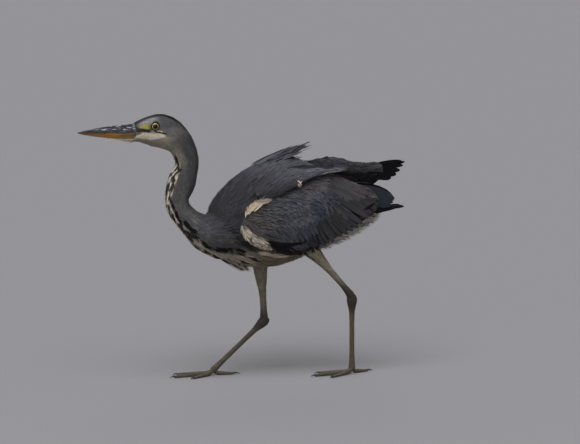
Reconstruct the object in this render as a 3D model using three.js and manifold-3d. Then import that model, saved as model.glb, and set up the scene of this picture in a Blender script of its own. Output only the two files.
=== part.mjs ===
// A grey heron (Ardea cinerea), life size, stalking with its neck in an S and both legs bent.
// Millimetres, +Z up. The bird looks along -X, so its left side is at -Y. The floor is Z = 0.
// Every solid is a loft: a unit cylinder whose vertices are moved onto cross-sections.
// Stations list those cross-sections by their real sizes, and a spline runs smoothly between them.

import * as THREE from "three";
import { mergeVertices } from "three/addons/utils/BufferGeometryUtils.js";
import Module from "manifold-3d";

const wasm = await Module();
wasm.setup();

// ---------------------------------------------------------------- driving dimensions

const GAP = 0.3; // clearance between solids that meet
const LEFT = -1; // the side of Y that each half of the bird lies on
const RIGHT = 1;

// Head and neck, from the bill's base to inside the breast, in the plane Y = 0.
// x, z: centre. up, down: reach towards the nape and towards the throat. wide: half width.
const neckLine = [
  { x: -346, z: 510, up: 17, down: 17, wide: 11.5 },
  { x: -338, z: 510, up: 20.5, down: 20, wide: 14.5 },
  { x: -324, z: 510, up: 26, down: 25, wide: 17.5 },
  { x: -309, z: 509.5, up: 31, down: 29, wide: 19.5 },
  { x: -294, z: 508, up: 35.5, down: 32, wide: 20.5 },
  { x: -277, z: 504.5, up: 35.5, down: 32.5, wide: 21.5 },
  { x: -261, z: 496.5, up: 33, down: 31, wide: 21.5 },
  { x: -246, z: 485, up: 28.5, down: 28, wide: 21 },
  { x: -235, z: 468, up: 26, down: 26, wide: 20.5 },
  { x: -228, z: 449, up: 24.5, down: 25.5, wide: 20 },
  { x: -228, z: 431, up: 24, down: 25, wide: 19.5 },
  { x: -236, z: 411, up: 29, down: 30, wide: 20.5 },
  { x: -244, z: 390, up: 29, down: 29.5, wide: 21.5 },
  { x: -249, z: 370, up: 23, down: 26, wide: 21.5 },
  { x: -246, z: 351, up: 23.5, down: 25, wide: 22 },
  { x: -232, z: 332, up: 24.5, down: 24, wide: 23.5 },
  { x: -210, z: 314, up: 27.5, down: 31, wide: 28 },
  { x: -184, z: 300, up: 37, down: 44.5, wide: 37 },
  { x: -152, z: 296, up: 48, down: 56, wide: 46 },
];
// Where the neck is parted, as places on that line from 0 to 1, with rings for each length.
const neckParts = [
  { name: "head", from: 0, to: 0.375, rings: 9 },
  { name: "neck_upper", from: 0.375, to: 0.575, rings: 6 },
  { name: "neck_middle", from: 0.575, to: 0.79, rings: 6 },
  { name: "neck_lower", from: 0.79, to: 1, rings: 6 },
];

// Trunk: upright sections along X.
const trunkLine = [
  { x: -181, top: 331, bottom: 317, wide: 9 },
  { x: -179, top: 342, bottom: 299, wide: 20 },
  { x: -174, top: 353, bottom: 281, wide: 29 },
  { x: -166, top: 367, bottom: 261, wide: 38 },
  { x: -151, top: 383, bottom: 243, wide: 46 },
  { x: -126, top: 404, bottom: 230, wide: 54 },
  { x: -88, top: 426, bottom: 221, wide: 60 },
  { x: -44, top: 441, bottom: 219, wide: 62 },
  { x: 0, top: 441, bottom: 228, wide: 60 },
  { x: 44, top: 424, bottom: 244, wide: 56 },
  { x: 88, top: 402, bottom: 258, wide: 48 },
  { x: 130, top: 382, bottom: 274, wide: 38 },
  { x: 165, top: 366, bottom: 292, wide: 27 },
  { x: 190, top: 350, bottom: 309, wide: 15 },
];
const trunkMesh = { rings: 16, sides: 20 };
const backNarrowing = 0.14; // share by which the back is narrower than the belly

// Wings: upright lens sections along X. out: distance of the wing's middle from Y = 0.
const leftWingLine = [
  { x: -140, top: 320, bottom: 303, out: 66 },
  { x: -134, top: 335, bottom: 289, out: 70 },
  { x: -120, top: 352, bottom: 277, out: 75 },
  { x: -100, top: 366, bottom: 268, out: 78 },
  { x: -70, top: 380, bottom: 259, out: 79 },
  { x: -38, top: 394, bottom: 251, out: 78 },
  { x: -8, top: 408, bottom: 248, out: 74 },
  { x: 24, top: 417, bottom: 256, out: 69 },
  { x: 58, top: 413, bottom: 273, out: 62 },
  { x: 92, top: 401, bottom: 284, out: 55 },
  { x: 122, top: 387, bottom: 299, out: 48 },
  { x: 150, top: 376, bottom: 313, out: 41 },
  { x: 168, top: 364, bottom: 324, out: 37 },
  { x: 175, top: 352, bottom: 334, out: 35 },
];
const rightWingLine = [
  { x: -128, top: 340, bottom: 324, out: 66 },
  { x: -122, top: 354, bottom: 311, out: 70 },
  { x: -104, top: 368, bottom: 296, out: 74 },
  { x: -78, top: 382, bottom: 282, out: 76 },
  { x: -46, top: 396, bottom: 270, out: 75 },
  { x: -12, top: 411, bottom: 263, out: 71 },
  { x: 24, top: 419, bottom: 270, out: 66 },
  { x: 60, top: 430, bottom: 287, out: 59 },
  { x: 92, top: 434, bottom: 304, out: 53 },
  { x: 126, top: 428, bottom: 323, out: 48 },
  { x: 158, top: 415, bottom: 343, out: 43 },
  { x: 188, top: 416, bottom: 361, out: 38 },
  { x: 210, top: 412, bottom: 375, out: 35 },
  { x: 217, top: 405, bottom: 386, out: 33 },
];
const wing = {
  halfThickness: 9, // of the lens at its middle
  bend: 105, // radius to which the blade curves round the body
  lean: 0.15, // slope with which the upper edge leans in
  covertsEnd: 0.62, // where the coverts give way to the long quills, as a share of the line
  covertRings: 8,
  quillRings: 6,
  sides: 14,
};

// Primaries: the narrow black blade that shows beyond each wing.
const leftPrimaryLine = [
  { x: 118, top: 331, bottom: 305, out: 41 },
  { x: 150, top: 340, bottom: 320, out: 37 },
  { x: 185, top: 339, bottom: 323, out: 33 },
  { x: 215, top: 333, bottom: 323, out: 29 },
  { x: 232, top: 329, bottom: 324, out: 26 },
  { x: 239, top: 327, bottom: 325, out: 25 },
];
const rightPrimaryLine = [
  { x: 168, top: 412, bottom: 362, out: 36 },
  { x: 200, top: 416, bottom: 373, out: 32 },
  { x: 226, top: 417, bottom: 382, out: 29 },
  { x: 246, top: 416, bottom: 393, out: 27 },
  { x: 259, top: 414, bottom: 402, out: 26 },
  { x: 266, top: 412, bottom: 408, out: 25 },
];
const primary = { halfThickness: 3, bend: 90, lean: 0.1, rings: 7, sides: 10 };

// Scapulars: the long shoulder feathers that lie over the top of each wing.
const scapularLine = [
  { x: -112, top: 388, bottom: 372, out: 58 },
  { x: -96, top: 400, bottom: 364, out: 59 },
  { x: -60, top: 420, bottom: 370, out: 60 },
  { x: -20, top: 432, bottom: 384, out: 58 },
  { x: 20, top: 431, bottom: 400, out: 52 },
  { x: 60, top: 425, bottom: 408, out: 45 },
  { x: 92, top: 420, bottom: 409, out: 39 },
  { x: 110, top: 416, bottom: 410, out: 36 },
];
const scapular = { halfThickness: 10, bend: 60, lean: 0.62, rings: 8, sides: 10 };

// Tail: arched sections along X, the ridge in the middle and the edges drooping.
const tailLine = [
  { x: 96, ridge: 380, droop: 20, wide: 24 },
  { x: 140, ridge: 378, droop: 28, wide: 30 },
  { x: 176, ridge: 373, droop: 35, wide: 35 },
  { x: 204, ridge: 362, droop: 30, wide: 35 },
  { x: 221, ridge: 351, droop: 20, wide: 29 },
  { x: 230, ridge: 342, droop: 8, wide: 17 },
];
const tail = { halfThickness: 2.2, archPower: 1.5, rings: 7, sides: 14 };

// Bill: upright half sections along X. mouth: height of the gape line.
const billLine = [
  { x: -468, culmen: 515.2, mouth: 514.2, keel: 513.4, wide: 0.8 },
  { x: -455, culmen: 517.6, mouth: 513.8, keel: 510, wide: 2.2 },
  { x: -436, culmen: 520.4, mouth: 513.2, keel: 506, wide: 3.8 },
  { x: -412, culmen: 523, mouth: 512.4, keel: 502, wide: 6 },
  { x: -388, culmen: 524.6, mouth: 511.4, keel: 499, wide: 8.2 },
  { x: -364, culmen: 525.6, mouth: 510.2, keel: 496.4, wide: 10 },
  { x: -344, culmen: 526.6, mouth: 509.2, keel: 494.6, wide: 11 },
  { x: -332, culmen: 526.8, mouth: 508.6, keel: 494.2, wide: 11.2 },
];
const bill = { rings: 8, sides: 12, ridgeNarrowing: 0.3 };
const chinLine = [
  { x: -398, z: 499, up: 1.2, down: 0.8, wide: 1.4 },
  { x: -376, z: 496.4, up: 2.4, down: 2, wide: 4 },
  { x: -356, z: 494.8, up: 4, down: 3.4, wide: 6.5 },
  { x: -334, z: 493.6, up: 5, down: 5, wide: 9 },
];

const eye = { x: -303.4, z: 520.2, out: 11.3, radius: 9.5 };

// Legs. Each station is a round section: x, y, z and its radius.
const rightLeg = {
  side: RIGHT,
  thigh: [
    [-50, 34, 262, 24],
    [-49.5, 37, 238, 21],
    [-49, 39, 216, 15.5],
    [-46.5, 40, 196, 12.5],
    [-44, 41, 176, 9.8],
  ],
  shank: [
    [-44, 41, 176, 8.8],
    [-42, 41.5, 158, 7],
    [-40.5, 42, 140, 6.4],
    [-39.5, 42.5, 124, 6.8],
    [-38.5, 43, 114, 8.2],
  ],
  ankle: [-37.5, 43, 106],
  toeJoint: [-146, 54, 10.5],
  heading: -2, // degrees that the middle toe turns outwards
};
const leftLeg = {
  side: LEFT,
  thigh: [
    [-8, -40, 292, 25],
    [12, -41, 269, 21],
    [31, -42, 250, 15.5],
    [45, -42, 235.5, 11.5],
    [62, -43, 217, 8.4],
  ],
  shank: [
    [62, -43, 217, 7.6],
    [79, -43.5, 198, 6.2],
    [96, -44, 179, 5.9],
    [107, -44, 166, 7.2],
    [112, -44, 159, 9],
  ],
  ankle: [115, -44, 152.5],
  toeJoint: [116, -42, 10.5],
  heading: 6,
};
const leg = { thighRings: 6, shankRings: 6, tarsusRings: 10, sides: 10 };
const tarsus = {
  ankleCap: 8, // how far the ankle's knob reaches above its joint
  capRadius: 6.5,
  flatness: 0.82,
  sections: [
    { share: 0, radius: 10.8 },
    { share: 0.09, radius: 9.3 },
    { share: 0.2, radius: 5.6 },
    { share: 0.5, radius: 4.9 },
    { share: 0.86, radius: 5.4 },
    { share: 1, radius: 7.4 },
  ],
};

// Toes: turn is the angle from straight ahead, outwards. The first toe points back.
const toes = [
  { name: "middle", turn: 0, length: 86, radius: 4.3, claw: 13 },
  { name: "inner", turn: -27, length: 66, radius: 4, claw: 12 },
  { name: "outer", turn: 26, length: 72, radius: 4, claw: 11 },
  { name: "hind", turn: 192, length: 42, radius: 3.9, claw: 17 },
];
const toe = {
  rings: 5,
  sides: 7,
  tipShare: 0.68, // radius at the tip as a share of the toe's
  knuckle: 0.09, // how far the joints swell
  joints: 3,
  sink: 0.86, // height of the toe's middle as a share of its radius, for the flat sole
  rise: 1.6, // how far the toe lifts towards its root
  fall: 0.16, // where it has come down from the joint, as a share of its length
};
const claw = {
  rings: 3,
  sides: 5,
  radius: 2.5,
  taper: 0.7, // radius at the crest of its arch, as a share of the root's
  crest: 0.5,
  arch: 1.2,
  tipRadius: 0.4,
  tipHeight: 0.7,
  seat: 2, // how deep its root sits in the toe
};

// Plumes: thin lance-shaped blades. Each runs from root to tip.
const plumes = [
  { name: "plume_back_middle", root: [-45, 0, 432], tip: [44, 0, 469], half: 7, rise: 3 },
  { name: "plume_back_left", root: [-6, -7, 438], tip: [35, -9, 457], half: 2.2, rise: 2 },
  { name: "plume_back_right", root: [-4, 7, 438], tip: [33, 9, 446], half: 2, rise: 2 },
  { name: "plume_breast_left", root: [-126, -9, 234], tip: [-97, -11, 216], half: 2.6, rise: -1 },
  { name: "plume_breast_right", root: [-136, 9, 240], tip: [-108, 10, 219], half: 2.4, rise: -1 },
];
const plume = {
  rings: 6,
  sides: 5,
  halfThickness: 0.9,
  leastHalf: 0.35,
  root: 0.1, // the stretch of a half wave, from 0 to 1, that its outline follows
  end: 0.99,
};

const wings = [
  { side: LEFT, name: "left", line: leftWingLine, primaries: leftPrimaryLine },
  { side: RIGHT, name: "right", line: rightWingLine, primaries: rightPrimaryLine },
];

// ---------------------------------------------------------------- materials

const paint = (color, roughness, metalness = 0) =>
  new THREE.MeshStandardMaterial({ color, roughness, metalness });
const materials = {
  grey: paint(0x6b6a6e, 0.85),
  darkGrey: paint(0x4a494c, 0.85),
  black: paint(0x1d1c1e, 0.7),
  slate: paint(0x3d4046, 0.75),
  cream: paint(0x8f8878, 0.85),
  skin: paint(0x5f5546, 0.6),
  horn: paint(0x4e4f57, 0.4),
  yellow: paint(0x9c6c2c, 0.4),
  iris: paint(0xb9a53c, 0.1),
  claw: paint(0x2a2522, 0.4),
};

// ---------------------------------------------------------------- making solids

// A closed geometry as a manifold solid that faces outwards.
function solidOf(geometry) {
  geometry.deleteAttribute("normal");
  geometry.deleteAttribute("uv");
  const merged = mergeVertices(geometry, 1e-3);
  const corners = Uint32Array.from(merged.index.array);
  const build = () =>
    new wasm.Manifold(
      new wasm.Mesh({
        numProp: 3,
        vertProperties: merged.getAttribute("position").array,
        triVerts: corners,
      }),
    );
  const solid = build();
  if (solid.volume() > 0) return solid;
  for (let i = 0; i < corners.length; i += 3) {
    [corners[i + 1], corners[i + 2]] = [corners[i + 2], corners[i + 1]];
  }
  return build();
}

// A solid back as a three.js mesh.
function meshOf(name, solid, material) {
  const { vertProperties, triVerts } = solid.getMesh();
  const geometry = new THREE.BufferGeometry();
  geometry.setAttribute("position", new THREE.BufferAttribute(vertProperties, 3));
  geometry.setIndex(new THREE.BufferAttribute(triVerts, 1));
  const mesh = new THREE.Mesh(geometry, material);
  mesh.name = name;
  return mesh;
}

// The piece of a cut solid that holds nearly all of it, without the crumbs.
function largest(solid) {
  return solid.decompose().sort((a, b) => b.volume() - a.volume())[0];
}

// A unit cylinder bent into shape. place(along, angle, radius) gives each vertex its place,
// where along runs from 0 to 1, angle goes round and radius is 1 on the wall and 0 at a cap's centre.
function loft(place, rings, sides) {
  const geometry = new THREE.CylinderGeometry(1, 1, 1, sides, rings);
  const position = geometry.getAttribute("position");
  for (let i = 0; i < position.count; i += 1) {
    const across = position.getX(i);
    const upward = position.getZ(i);
    const along = position.getY(i) + 0.5;
    const radius = Math.min(1, Math.hypot(across, upward));
    const point = place(along, Math.atan2(upward, across), radius);
    position.setXYZ(i, point.x, point.y, point.z);
  }
  return solidOf(geometry);
}

// A smooth reading of a list of stations: read(t) gives every named size at t from 0 to 1.
function spline(stations) {
  const names = Object.keys(stations[0]);
  const curves = [];
  for (let i = 0; i < names.length; i += 3) {
    const trio = names.slice(i, i + 3);
    const points = stations.map(
      (s) => new THREE.Vector3(...[0, 1, 2].map((k) => s[trio[k]] ?? 0)),
    );
    curves.push([trio, new THREE.CatmullRomCurve3(points, false, "catmullrom", 0.5)]);
  }
  return (t) => {
    const sizes = {};
    for (const [trio, curve] of curves) {
      const values = curve.getPoint(t).toArray();
      trio.forEach((name, k) => (sizes[name] = values[k]));
    }
    return sizes;
  };
}

// A body in the plane Y = 0 whose sections stand square to its line.
function neckSolid({ from, to, rings, sides = 16, grow = 0, line = neckLine }) {
  const read = spline(line);
  const step = 1e-3;
  return loft(
    (along, angle, radius) => {
      const t = THREE.MathUtils.lerp(from, to, along);
      const at = read(t);
      const before = read(Math.max(0, t - step));
      const after = read(Math.min(1, t + step));
      const tangent = new THREE.Vector2(after.x - before.x, after.z - before.z).normalize();
      const height = Math.sin(angle) * radius;
      const reach = height * ((height > 0 ? at.up : at.down) + grow);
      const across = Math.cos(angle) * radius * (at.wide + grow);
      return new THREE.Vector3(at.x - tangent.y * reach, across, at.z + tangent.x * reach);
    },
    rings,
    sides,
  );
}

// The trunk: upright egg-shaped sections, narrower along the back.
function trunkSolid(grow = 0) {
  const read = spline(trunkLine);
  return loft(
    (along, angle, radius) => {
      const at = read(along);
      const height = Math.sin(angle) * radius;
      const half = (at.top - at.bottom) / 2 + grow;
      const across = Math.cos(angle) * radius * (at.wide + grow) * (1 - backNarrowing * height);
      const endwise = (along === 0 ? -grow : 0) + (along === 1 ? grow : 0);
      return new THREE.Vector3(at.x + endwise, across, (at.top + at.bottom) / 2 + height * half);
    },
    trunkMesh.rings,
    trunkMesh.sides,
  );
}

// A feathered blade that lies along one side of the body: upright lens sections,
// bowed round the body, with the upper edge leaning in.
function bladeSolid(line, side, form, { from = 0, to = 1, grow = 0, rings = form.rings } = {}) {
  const read = spline(line);
  return loft(
    (along, angle, radius) => {
      const t = THREE.MathUtils.lerp(from, to, along);
      const at = read(t);
      const height = Math.sin(angle) * radius;
      const half = (at.top - at.bottom) / 2 + grow;
      const rise = height * half;
      const inward = (rise * rise) / (2 * form.bend) + form.lean * rise;
      const thick = Math.cos(angle) * radius * (form.halfThickness + grow);
      const endwise = (along === 0 ? -grow : 0) + (along === 1 ? grow : 0);
      const y = side * (at.out - inward + thick);
      return new THREE.Vector3(at.x + endwise, y, (at.top + at.bottom) / 2 + rise);
    },
    rings,
    form.sides,
  );
}

function tailSolid() {
  const read = spline(tailLine);
  return loft(
    (along, angle, radius) => {
      const at = read(along);
      const across = Math.cos(angle) * radius;
      const sag = at.droop * Math.pow(Math.abs(across), tail.archPower);
      const thick = Math.sin(angle) * radius * tail.halfThickness;
      return new THREE.Vector3(at.x, across * at.wide, at.ridge - sag + thick);
    },
    tail.rings,
    tail.sides,
  );
}

// The upper or the lower half of the bill: flat along the mouth, rounded above or below.
function billSolid(upper) {
  const read = spline(billLine);
  return loft(
    (along, angle, radius) => {
      const at = read(along);
      const mouth = at.mouth + (upper ? GAP : -GAP) / 2;
      const ridge = upper ? at.culmen : at.keel;
      const height = Math.max(0, Math.sin(angle) * radius);
      const across = Math.cos(angle) * radius * at.wide * (1 - bill.ridgeNarrowing * height);
      return new THREE.Vector3(at.x, across, mouth + height * (ridge - mouth));
    },
    bill.rings,
    bill.sides,
  );
}

// The whole closed bill, larger by the gap, which leaves its seat in the head.
function billRoom() {
  const read = spline(billLine);
  return loft(
    (along, angle, radius) => {
      const at = read(along);
      const height = Math.sin(angle) * radius;
      const reach = (height > 0 ? at.culmen - at.mouth : at.mouth - at.keel) + GAP;
      const across = Math.cos(angle) * radius * (at.wide + GAP);
      const narrowed = across * (1 - bill.ridgeNarrowing * Math.abs(height));
      return new THREE.Vector3(at.x + (along === 1 ? GAP : 0), narrowed, at.mouth + height * reach);
    },
    bill.rings,
    bill.sides,
  );
}

function ball(x, y, z, radius, sides = 12, rings = 7) {
  const geometry = new THREE.SphereGeometry(radius, sides, rings);
  geometry.translate(x, y, z);
  return solidOf(geometry);
}

// A limb through round stations [x, y, z, radius]. flatness narrows it from side to side,
// and no point goes below the floor, which gives a toe its flat sole.
function limbSolid(stations, { rings, sides, grow = 0, flatness = 1, swell = () => 1 }) {
  const points = stations.map(([x, y, z]) => new THREE.Vector3(x, y, z));
  const curve = new THREE.CatmullRomCurve3(points, false, "catmullrom", 0.5);
  const read = spline(stations.map(([, , , radius]) => ({ radius })));
  const sideways = new THREE.Vector3();
  const upward = new THREE.Vector3();
  return loft(
    (along, angle, radius) => {
      const centre = curve.getPoint(along);
      const tangent = curve.getTangent(along);
      const lying = Math.abs(tangent.z) < 0.6;
      upward.set(lying ? 0 : 1, 0, lying ? 1 : 0);
      sideways.crossVectors(upward, tangent).normalize();
      upward.crossVectors(tangent, sideways).normalize();
      const reach = radius * (read(along).radius * swell(along) + grow);
      const endwise = (along === 1 ? grow : 0) - (along === 0 ? grow : 0);
      const point = centre
        .addScaledVector(tangent, endwise)
        .addScaledVector(sideways, Math.cos(angle) * reach * flatness)
        .addScaledVector(upward, Math.sin(angle) * reach);
      point.z = Math.max(0, point.z);
      return point;
    },
    rings,
    sides,
  );
}

// ---------------------------------------------------------------- sub-parts

const group = new THREE.Group();
function add(name, solid, material) {
  group.add(meshOf(name, solid, material));
}

const trunkRoom = trunkSolid(GAP);

// Trunk, neck and head.
function addBody() {
  add("trunk", trunkSolid(), materials.grey);
  const [headPart, ...lowerParts] = neckParts;
  for (const part of lowerParts) {
    // Each length stops short of the one before it by the gap, measured along the neck.
    const length = neckSolid({ ...part, from: part.from + neckGap(part.from) });
    add(part.name, largest(length.subtract(trunkRoom)), materials.grey);
  }
  const chin = neckSolid({ from: 0, to: 1, rings: 4, sides: 8, line: chinLine });
  let head = neckSolid(headPart).add(chin);
  head = head.subtract(billRoom());
  for (const side of [LEFT, RIGHT]) {
    head = head.subtract(ball(eye.x, side * eye.out, eye.z, eye.radius + GAP));
    const name = side === LEFT ? "eye_left" : "eye_right";
    add(name, ball(eye.x, side * eye.out, eye.z, eye.radius), materials.iris);
  }
  add("head", largest(head), materials.grey);
}

// The share of the neck line that is as long as the gap, at place t.
function neckGap(t) {
  const read = spline(neckLine);
  const step = 0.01;
  const here = read(t);
  const next = read(t + step);
  return (GAP * step) / Math.hypot(next.x - here.x, next.z - here.z);
}

function addBill() {
  add("bill_upper", billSolid(true), materials.horn);
  add("bill_lower", billSolid(false), materials.yellow);
}

// The two lengths of a wing, coverts then quills, and the room that each needs.
function wingLengths(line, side, grow = 0) {
  const split = wing.covertsEnd;
  const splitGap = GAP / (line.at(-1).x - line[0].x);
  const coverts = bladeSolid(line, side, wing, { to: split, rings: wing.covertRings, grow });
  const quills = bladeSolid(line, side, wing, { from: split + splitGap, rings: wing.quillRings, grow });
  return [coverts, quills];
}

function subtractAll(solid, others) {
  return others.reduce((rest, other) => rest.subtract(other), solid);
}

// Scapulars, wings and their primaries. Each fits round what lies inside it.
function addWings() {
  for (const { side, name, line, primaries } of wings) {
    const shoulder = bladeSolid(scapularLine, side, scapular).subtract(trunkRoom);
    const shoulderRoom = bladeSolid(scapularLine, side, scapular, { grow: GAP });
    const fitted = (part) => largest(part.subtract(trunkRoom).subtract(shoulderRoom));
    const [coverts, quills] = wingLengths(line, side);
    const tip = subtractAll(bladeSolid(primaries, side, primary), [
      trunkRoom,
      ...wingLengths(line, side, GAP),
    ]);
    add(`scapulars_${name}`, largest(shoulder), materials.grey);
    add(`wing_${name}_coverts`, fitted(coverts), materials.darkGrey);
    add(`wing_${name}_quills`, fitted(quills), materials.darkGrey);
    add(`wing_${name}_primaries`, largest(tip), materials.black);
  }
}

// The tail fits behind the trunk and between the wings.
function addTail() {
  let solid = tailSolid().subtract(trunkRoom);
  for (const { side, line, primaries } of wings) {
    const blade = bladeSolid(primaries, side, primary, { grow: GAP });
    solid = subtractAll(solid, [...wingLengths(line, side, GAP), blade]);
  }
  add("tail", largest(solid), materials.slate);
}

// The tarsus from its ankle to the toe joint, on round stations.
function tarsusStations(ankle, joint) {
  const down = joint.clone().sub(ankle).normalize();
  const cap = ankle.clone().addScaledVector(down, -tarsus.ankleCap);
  const shaft = tarsus.sections.map(({ share, radius }) => [
    ...ankle.clone().lerp(joint, share).toArray(),
    radius,
  ]);
  return [[...cap.toArray(), tarsus.capRadius], ...shaft];
}

// One toe and its claw, flat on the floor, as a function of the gap to leave round them.
function toeAndClaw({ turn, length, radius, claw: clawLength }, { side, heading }, joint) {
  const angle = THREE.MathUtils.degToRad((turn + heading) * -side);
  const ahead = new THREE.Vector3(-1, 0, 0).applyAxisAngle(new THREE.Vector3(0, 0, 1), angle);
  const at = (distance, height, thickness) => {
    const point = joint.clone().addScaledVector(ahead, distance);
    return [point.x, point.y, height, thickness];
  };
  const tip = radius * toe.tipShare;
  const toeStations = [
    at(0, joint.z, radius),
    at(length * toe.fall, radius * toe.sink + toe.rise, radius),
    at(length * 0.5, radius * toe.sink, radius),
    at(length, tip * toe.sink, tip),
  ];
  const root = length - claw.seat;
  const clawStations = [
    at(root, tip, claw.radius),
    at(root + clawLength * claw.crest, tip + claw.arch, claw.radius * claw.taper),
    at(root + clawLength, claw.tipHeight, claw.tipRadius),
  ];
  const swell = (along) => 1 + toe.knuckle * Math.cos(along * Math.PI * toe.joints * 2);
  const toeForm = { rings: toe.rings, sides: toe.sides, swell };
  const clawForm = { rings: claw.rings, sides: claw.sides };
  return (grow) => ({
    toe: limbSolid(toeStations, { ...toeForm, grow }),
    claw: limbSolid(clawStations, { ...clawForm, grow }),
  });
}

// One leg: feathered thigh, bare shank, tarsus with its ankle, toes and claws.
function addLeg(form) {
  const { side, thigh, shank, ankle, toeJoint } = form;
  const { name, line } = wings.find((w) => w.side === side);
  const joint = new THREE.Vector3(...toeJoint);
  const lowerLeg = tarsusStations(new THREE.Vector3(...ankle), joint);
  const { sides } = leg;
  const thighSolid = limbSolid(thigh, { rings: leg.thighRings, sides });
  const [shankSolid, shankRoom] = [0, GAP].map((grow) =>
    limbSolid(shank, { rings: leg.shankRings, sides, grow }),
  );
  const [tarsusSolid, tarsusRoom] = [0, GAP].map((grow) =>
    limbSolid(lowerLeg, { rings: leg.tarsusRings, sides, grow, flatness: tarsus.flatness }),
  );
  const around = [trunkRoom, shankRoom, ...wingLengths(line, side, GAP)];
  add(`thigh_${name}`, largest(subtractAll(thighSolid, around)), materials.cream);
  add(`shank_${name}`, largest(shankSolid.subtract(tarsusRoom)), materials.skin);
  add(`tarsus_${name}`, tarsusSolid, materials.skin);
  // Each toe gives way to the ones before it, which share its root.
  const taken = [tarsusRoom];
  for (const t of toes) {
    const make = toeAndClaw(t, form, joint);
    const { toe: solid, claw: clawSolid } = make(0);
    const room = make(GAP);
    add(`toe_${name}_${t.name}`, largest(subtractAll(solid, [...taken, room.claw])), materials.skin);
    add(`claw_${name}_${t.name}`, clawSolid, materials.claw);
    taken.push(room.toe);
  }
}

// A thin lance-shaped feather: widest a third of the way along, rising or drooping in an arc.
function plumeSolid({ root, tip, half, rise }) {
  const start = new THREE.Vector3(...root);
  const end = new THREE.Vector3(...tip);
  const middle = start.clone().lerp(end, 0.5);
  middle.z += rise;
  const curve = new THREE.QuadraticBezierCurve3(start, middle, end);
  return loft(
    (along, angle, radius) => {
      const point = curve.getPoint(along);
      const tangent = curve.getTangent(along);
      const bulge = Math.sin(Math.PI * THREE.MathUtils.lerp(plume.root, plume.end, along));
      const width = plume.leastHalf + half * bulge;
      const square = new THREE.Vector3(-tangent.z, 0, tangent.x).normalize();
      point.addScaledVector(square, Math.sin(angle) * radius * width);
      point.y += Math.cos(angle) * radius * plume.halfThickness;
      return point;
    },
    plume.rings,
    plume.sides,
  );
}

function addPlumes() {
  const neckRoom = neckSolid({ from: 0, to: 1, rings: 34, grow: GAP });
  for (const p of plumes) {
    const fitted = plumeSolid(p).subtract(trunkRoom).subtract(neckRoom);
    add(p.name, largest(fitted), materials.darkGrey);
  }
}

addBody();
addBill();
addWings();
addTail();
addLeg(leftLeg);
addLeg(rightLeg);
addPlumes();

// The origin is the middle of the bird's bounding box, at the floor.
const box = new THREE.Box3().setFromObject(group);
const middle = box.getCenter(new THREE.Vector3());
group.position.set(-middle.x, -middle.y, -box.min.z);

export default group;
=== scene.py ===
"""A grey heron, life size, as a still museum model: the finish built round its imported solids.

Everything is drawn in the part's own millimetres: the bird faces -X, its left side is at -Y,
and the floor is Z = 0. Drawing turns those into the frame's metres. One skin replaces the solids
of flesh, and a coat of solid feathers follows the lie of the plumage over it.
"""

import logging
import math
from dataclasses import dataclass, field
from enum import Enum
from typing import Callable

import bmesh
import bpy
import numpy as np
from mathutils import Matrix, Vector
from mathutils.bvhtree import BVHTree


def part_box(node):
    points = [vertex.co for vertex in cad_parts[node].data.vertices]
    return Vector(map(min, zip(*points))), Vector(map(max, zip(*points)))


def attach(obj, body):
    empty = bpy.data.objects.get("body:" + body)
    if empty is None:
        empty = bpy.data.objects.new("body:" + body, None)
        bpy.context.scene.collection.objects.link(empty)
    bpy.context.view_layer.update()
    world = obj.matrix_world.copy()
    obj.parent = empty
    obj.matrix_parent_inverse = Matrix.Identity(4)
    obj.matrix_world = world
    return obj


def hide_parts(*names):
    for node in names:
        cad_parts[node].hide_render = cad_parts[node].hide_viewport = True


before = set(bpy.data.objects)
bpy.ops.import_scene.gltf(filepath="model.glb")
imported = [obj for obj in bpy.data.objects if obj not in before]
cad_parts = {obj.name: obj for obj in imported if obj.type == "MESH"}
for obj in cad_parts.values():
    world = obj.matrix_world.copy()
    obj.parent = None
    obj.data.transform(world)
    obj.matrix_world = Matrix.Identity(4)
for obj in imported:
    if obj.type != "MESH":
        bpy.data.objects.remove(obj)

log = logging.getLogger("heron")
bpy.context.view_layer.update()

MM = 0.001
BODY = "root"
LEFT = -1
RIGHT = 1
NAMES = {LEFT: "left", RIGHT: "right"}

Array = np.ndarray


# ---------------------------------------------------------------- numbers


def smooth(low: float, high: float, value: Array) -> Array:
    """Returns 0 below low, 1 above high and an even S between them."""
    share = np.clip((np.asarray(value, float) - low) / (high - low), 0.0, 1.0)
    return share * share * (3.0 - 2.0 * share)


def band(low: float, high: float, soft: float, value: Array) -> Array:
    """Returns 1 between low and high, fading out over soft on either side."""
    return smooth(low - soft, low + soft, value) * (1.0 - smooth(high - soft, high + soft, value))


def unit(vectors: Array) -> Array:
    """Returns the vectors at length 1."""
    return vectors / np.maximum(np.linalg.norm(vectors, axis=-1, keepdims=True), 1e-9)


def curve_through(points: list, count: int) -> Array:
    """Reads a smooth curve through a few points.

    Args:
        points: the points that the curve passes, of any dimension.
        count: how many evenly spaced readings to take.

    Returns:
        The readings, one row each.
    """
    knots = np.array(points, float)
    ends = np.vstack([2 * knots[0] - knots[1], knots, 2 * knots[-1] - knots[-2]])
    place = np.linspace(0, len(knots) - 1, count)
    index = np.minimum(place.astype(int), len(knots) - 2)
    f = (place - index)[:, None]
    p0, p1, p2, p3 = (ends[index + k] for k in range(4))
    cubic = -p0 + 3 * p1 - 3 * p2 + p3
    return 0.5 * (2 * p1 + (p2 - p0) * f + (2 * p0 - 5 * p1 + 4 * p2 - p3) * f**2 + cubic * f**3)


def linear(red: float, green: float, blue: float) -> Array:
    """Returns an sRGB colour, given from 0 to 255, as linear light."""
    srgb = np.array([red, green, blue], float) / 255.0
    return np.where(srgb <= 0.04045, srgb / 12.92, ((srgb + 0.055) / 1.055) ** 2.4)


def blend(base: Array, colour: Array, mask: Array) -> Array:
    """Returns base with colour, one or many, laid over it where mask says."""
    return base + (colour - base) * np.asarray(mask)[:, None]


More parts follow.
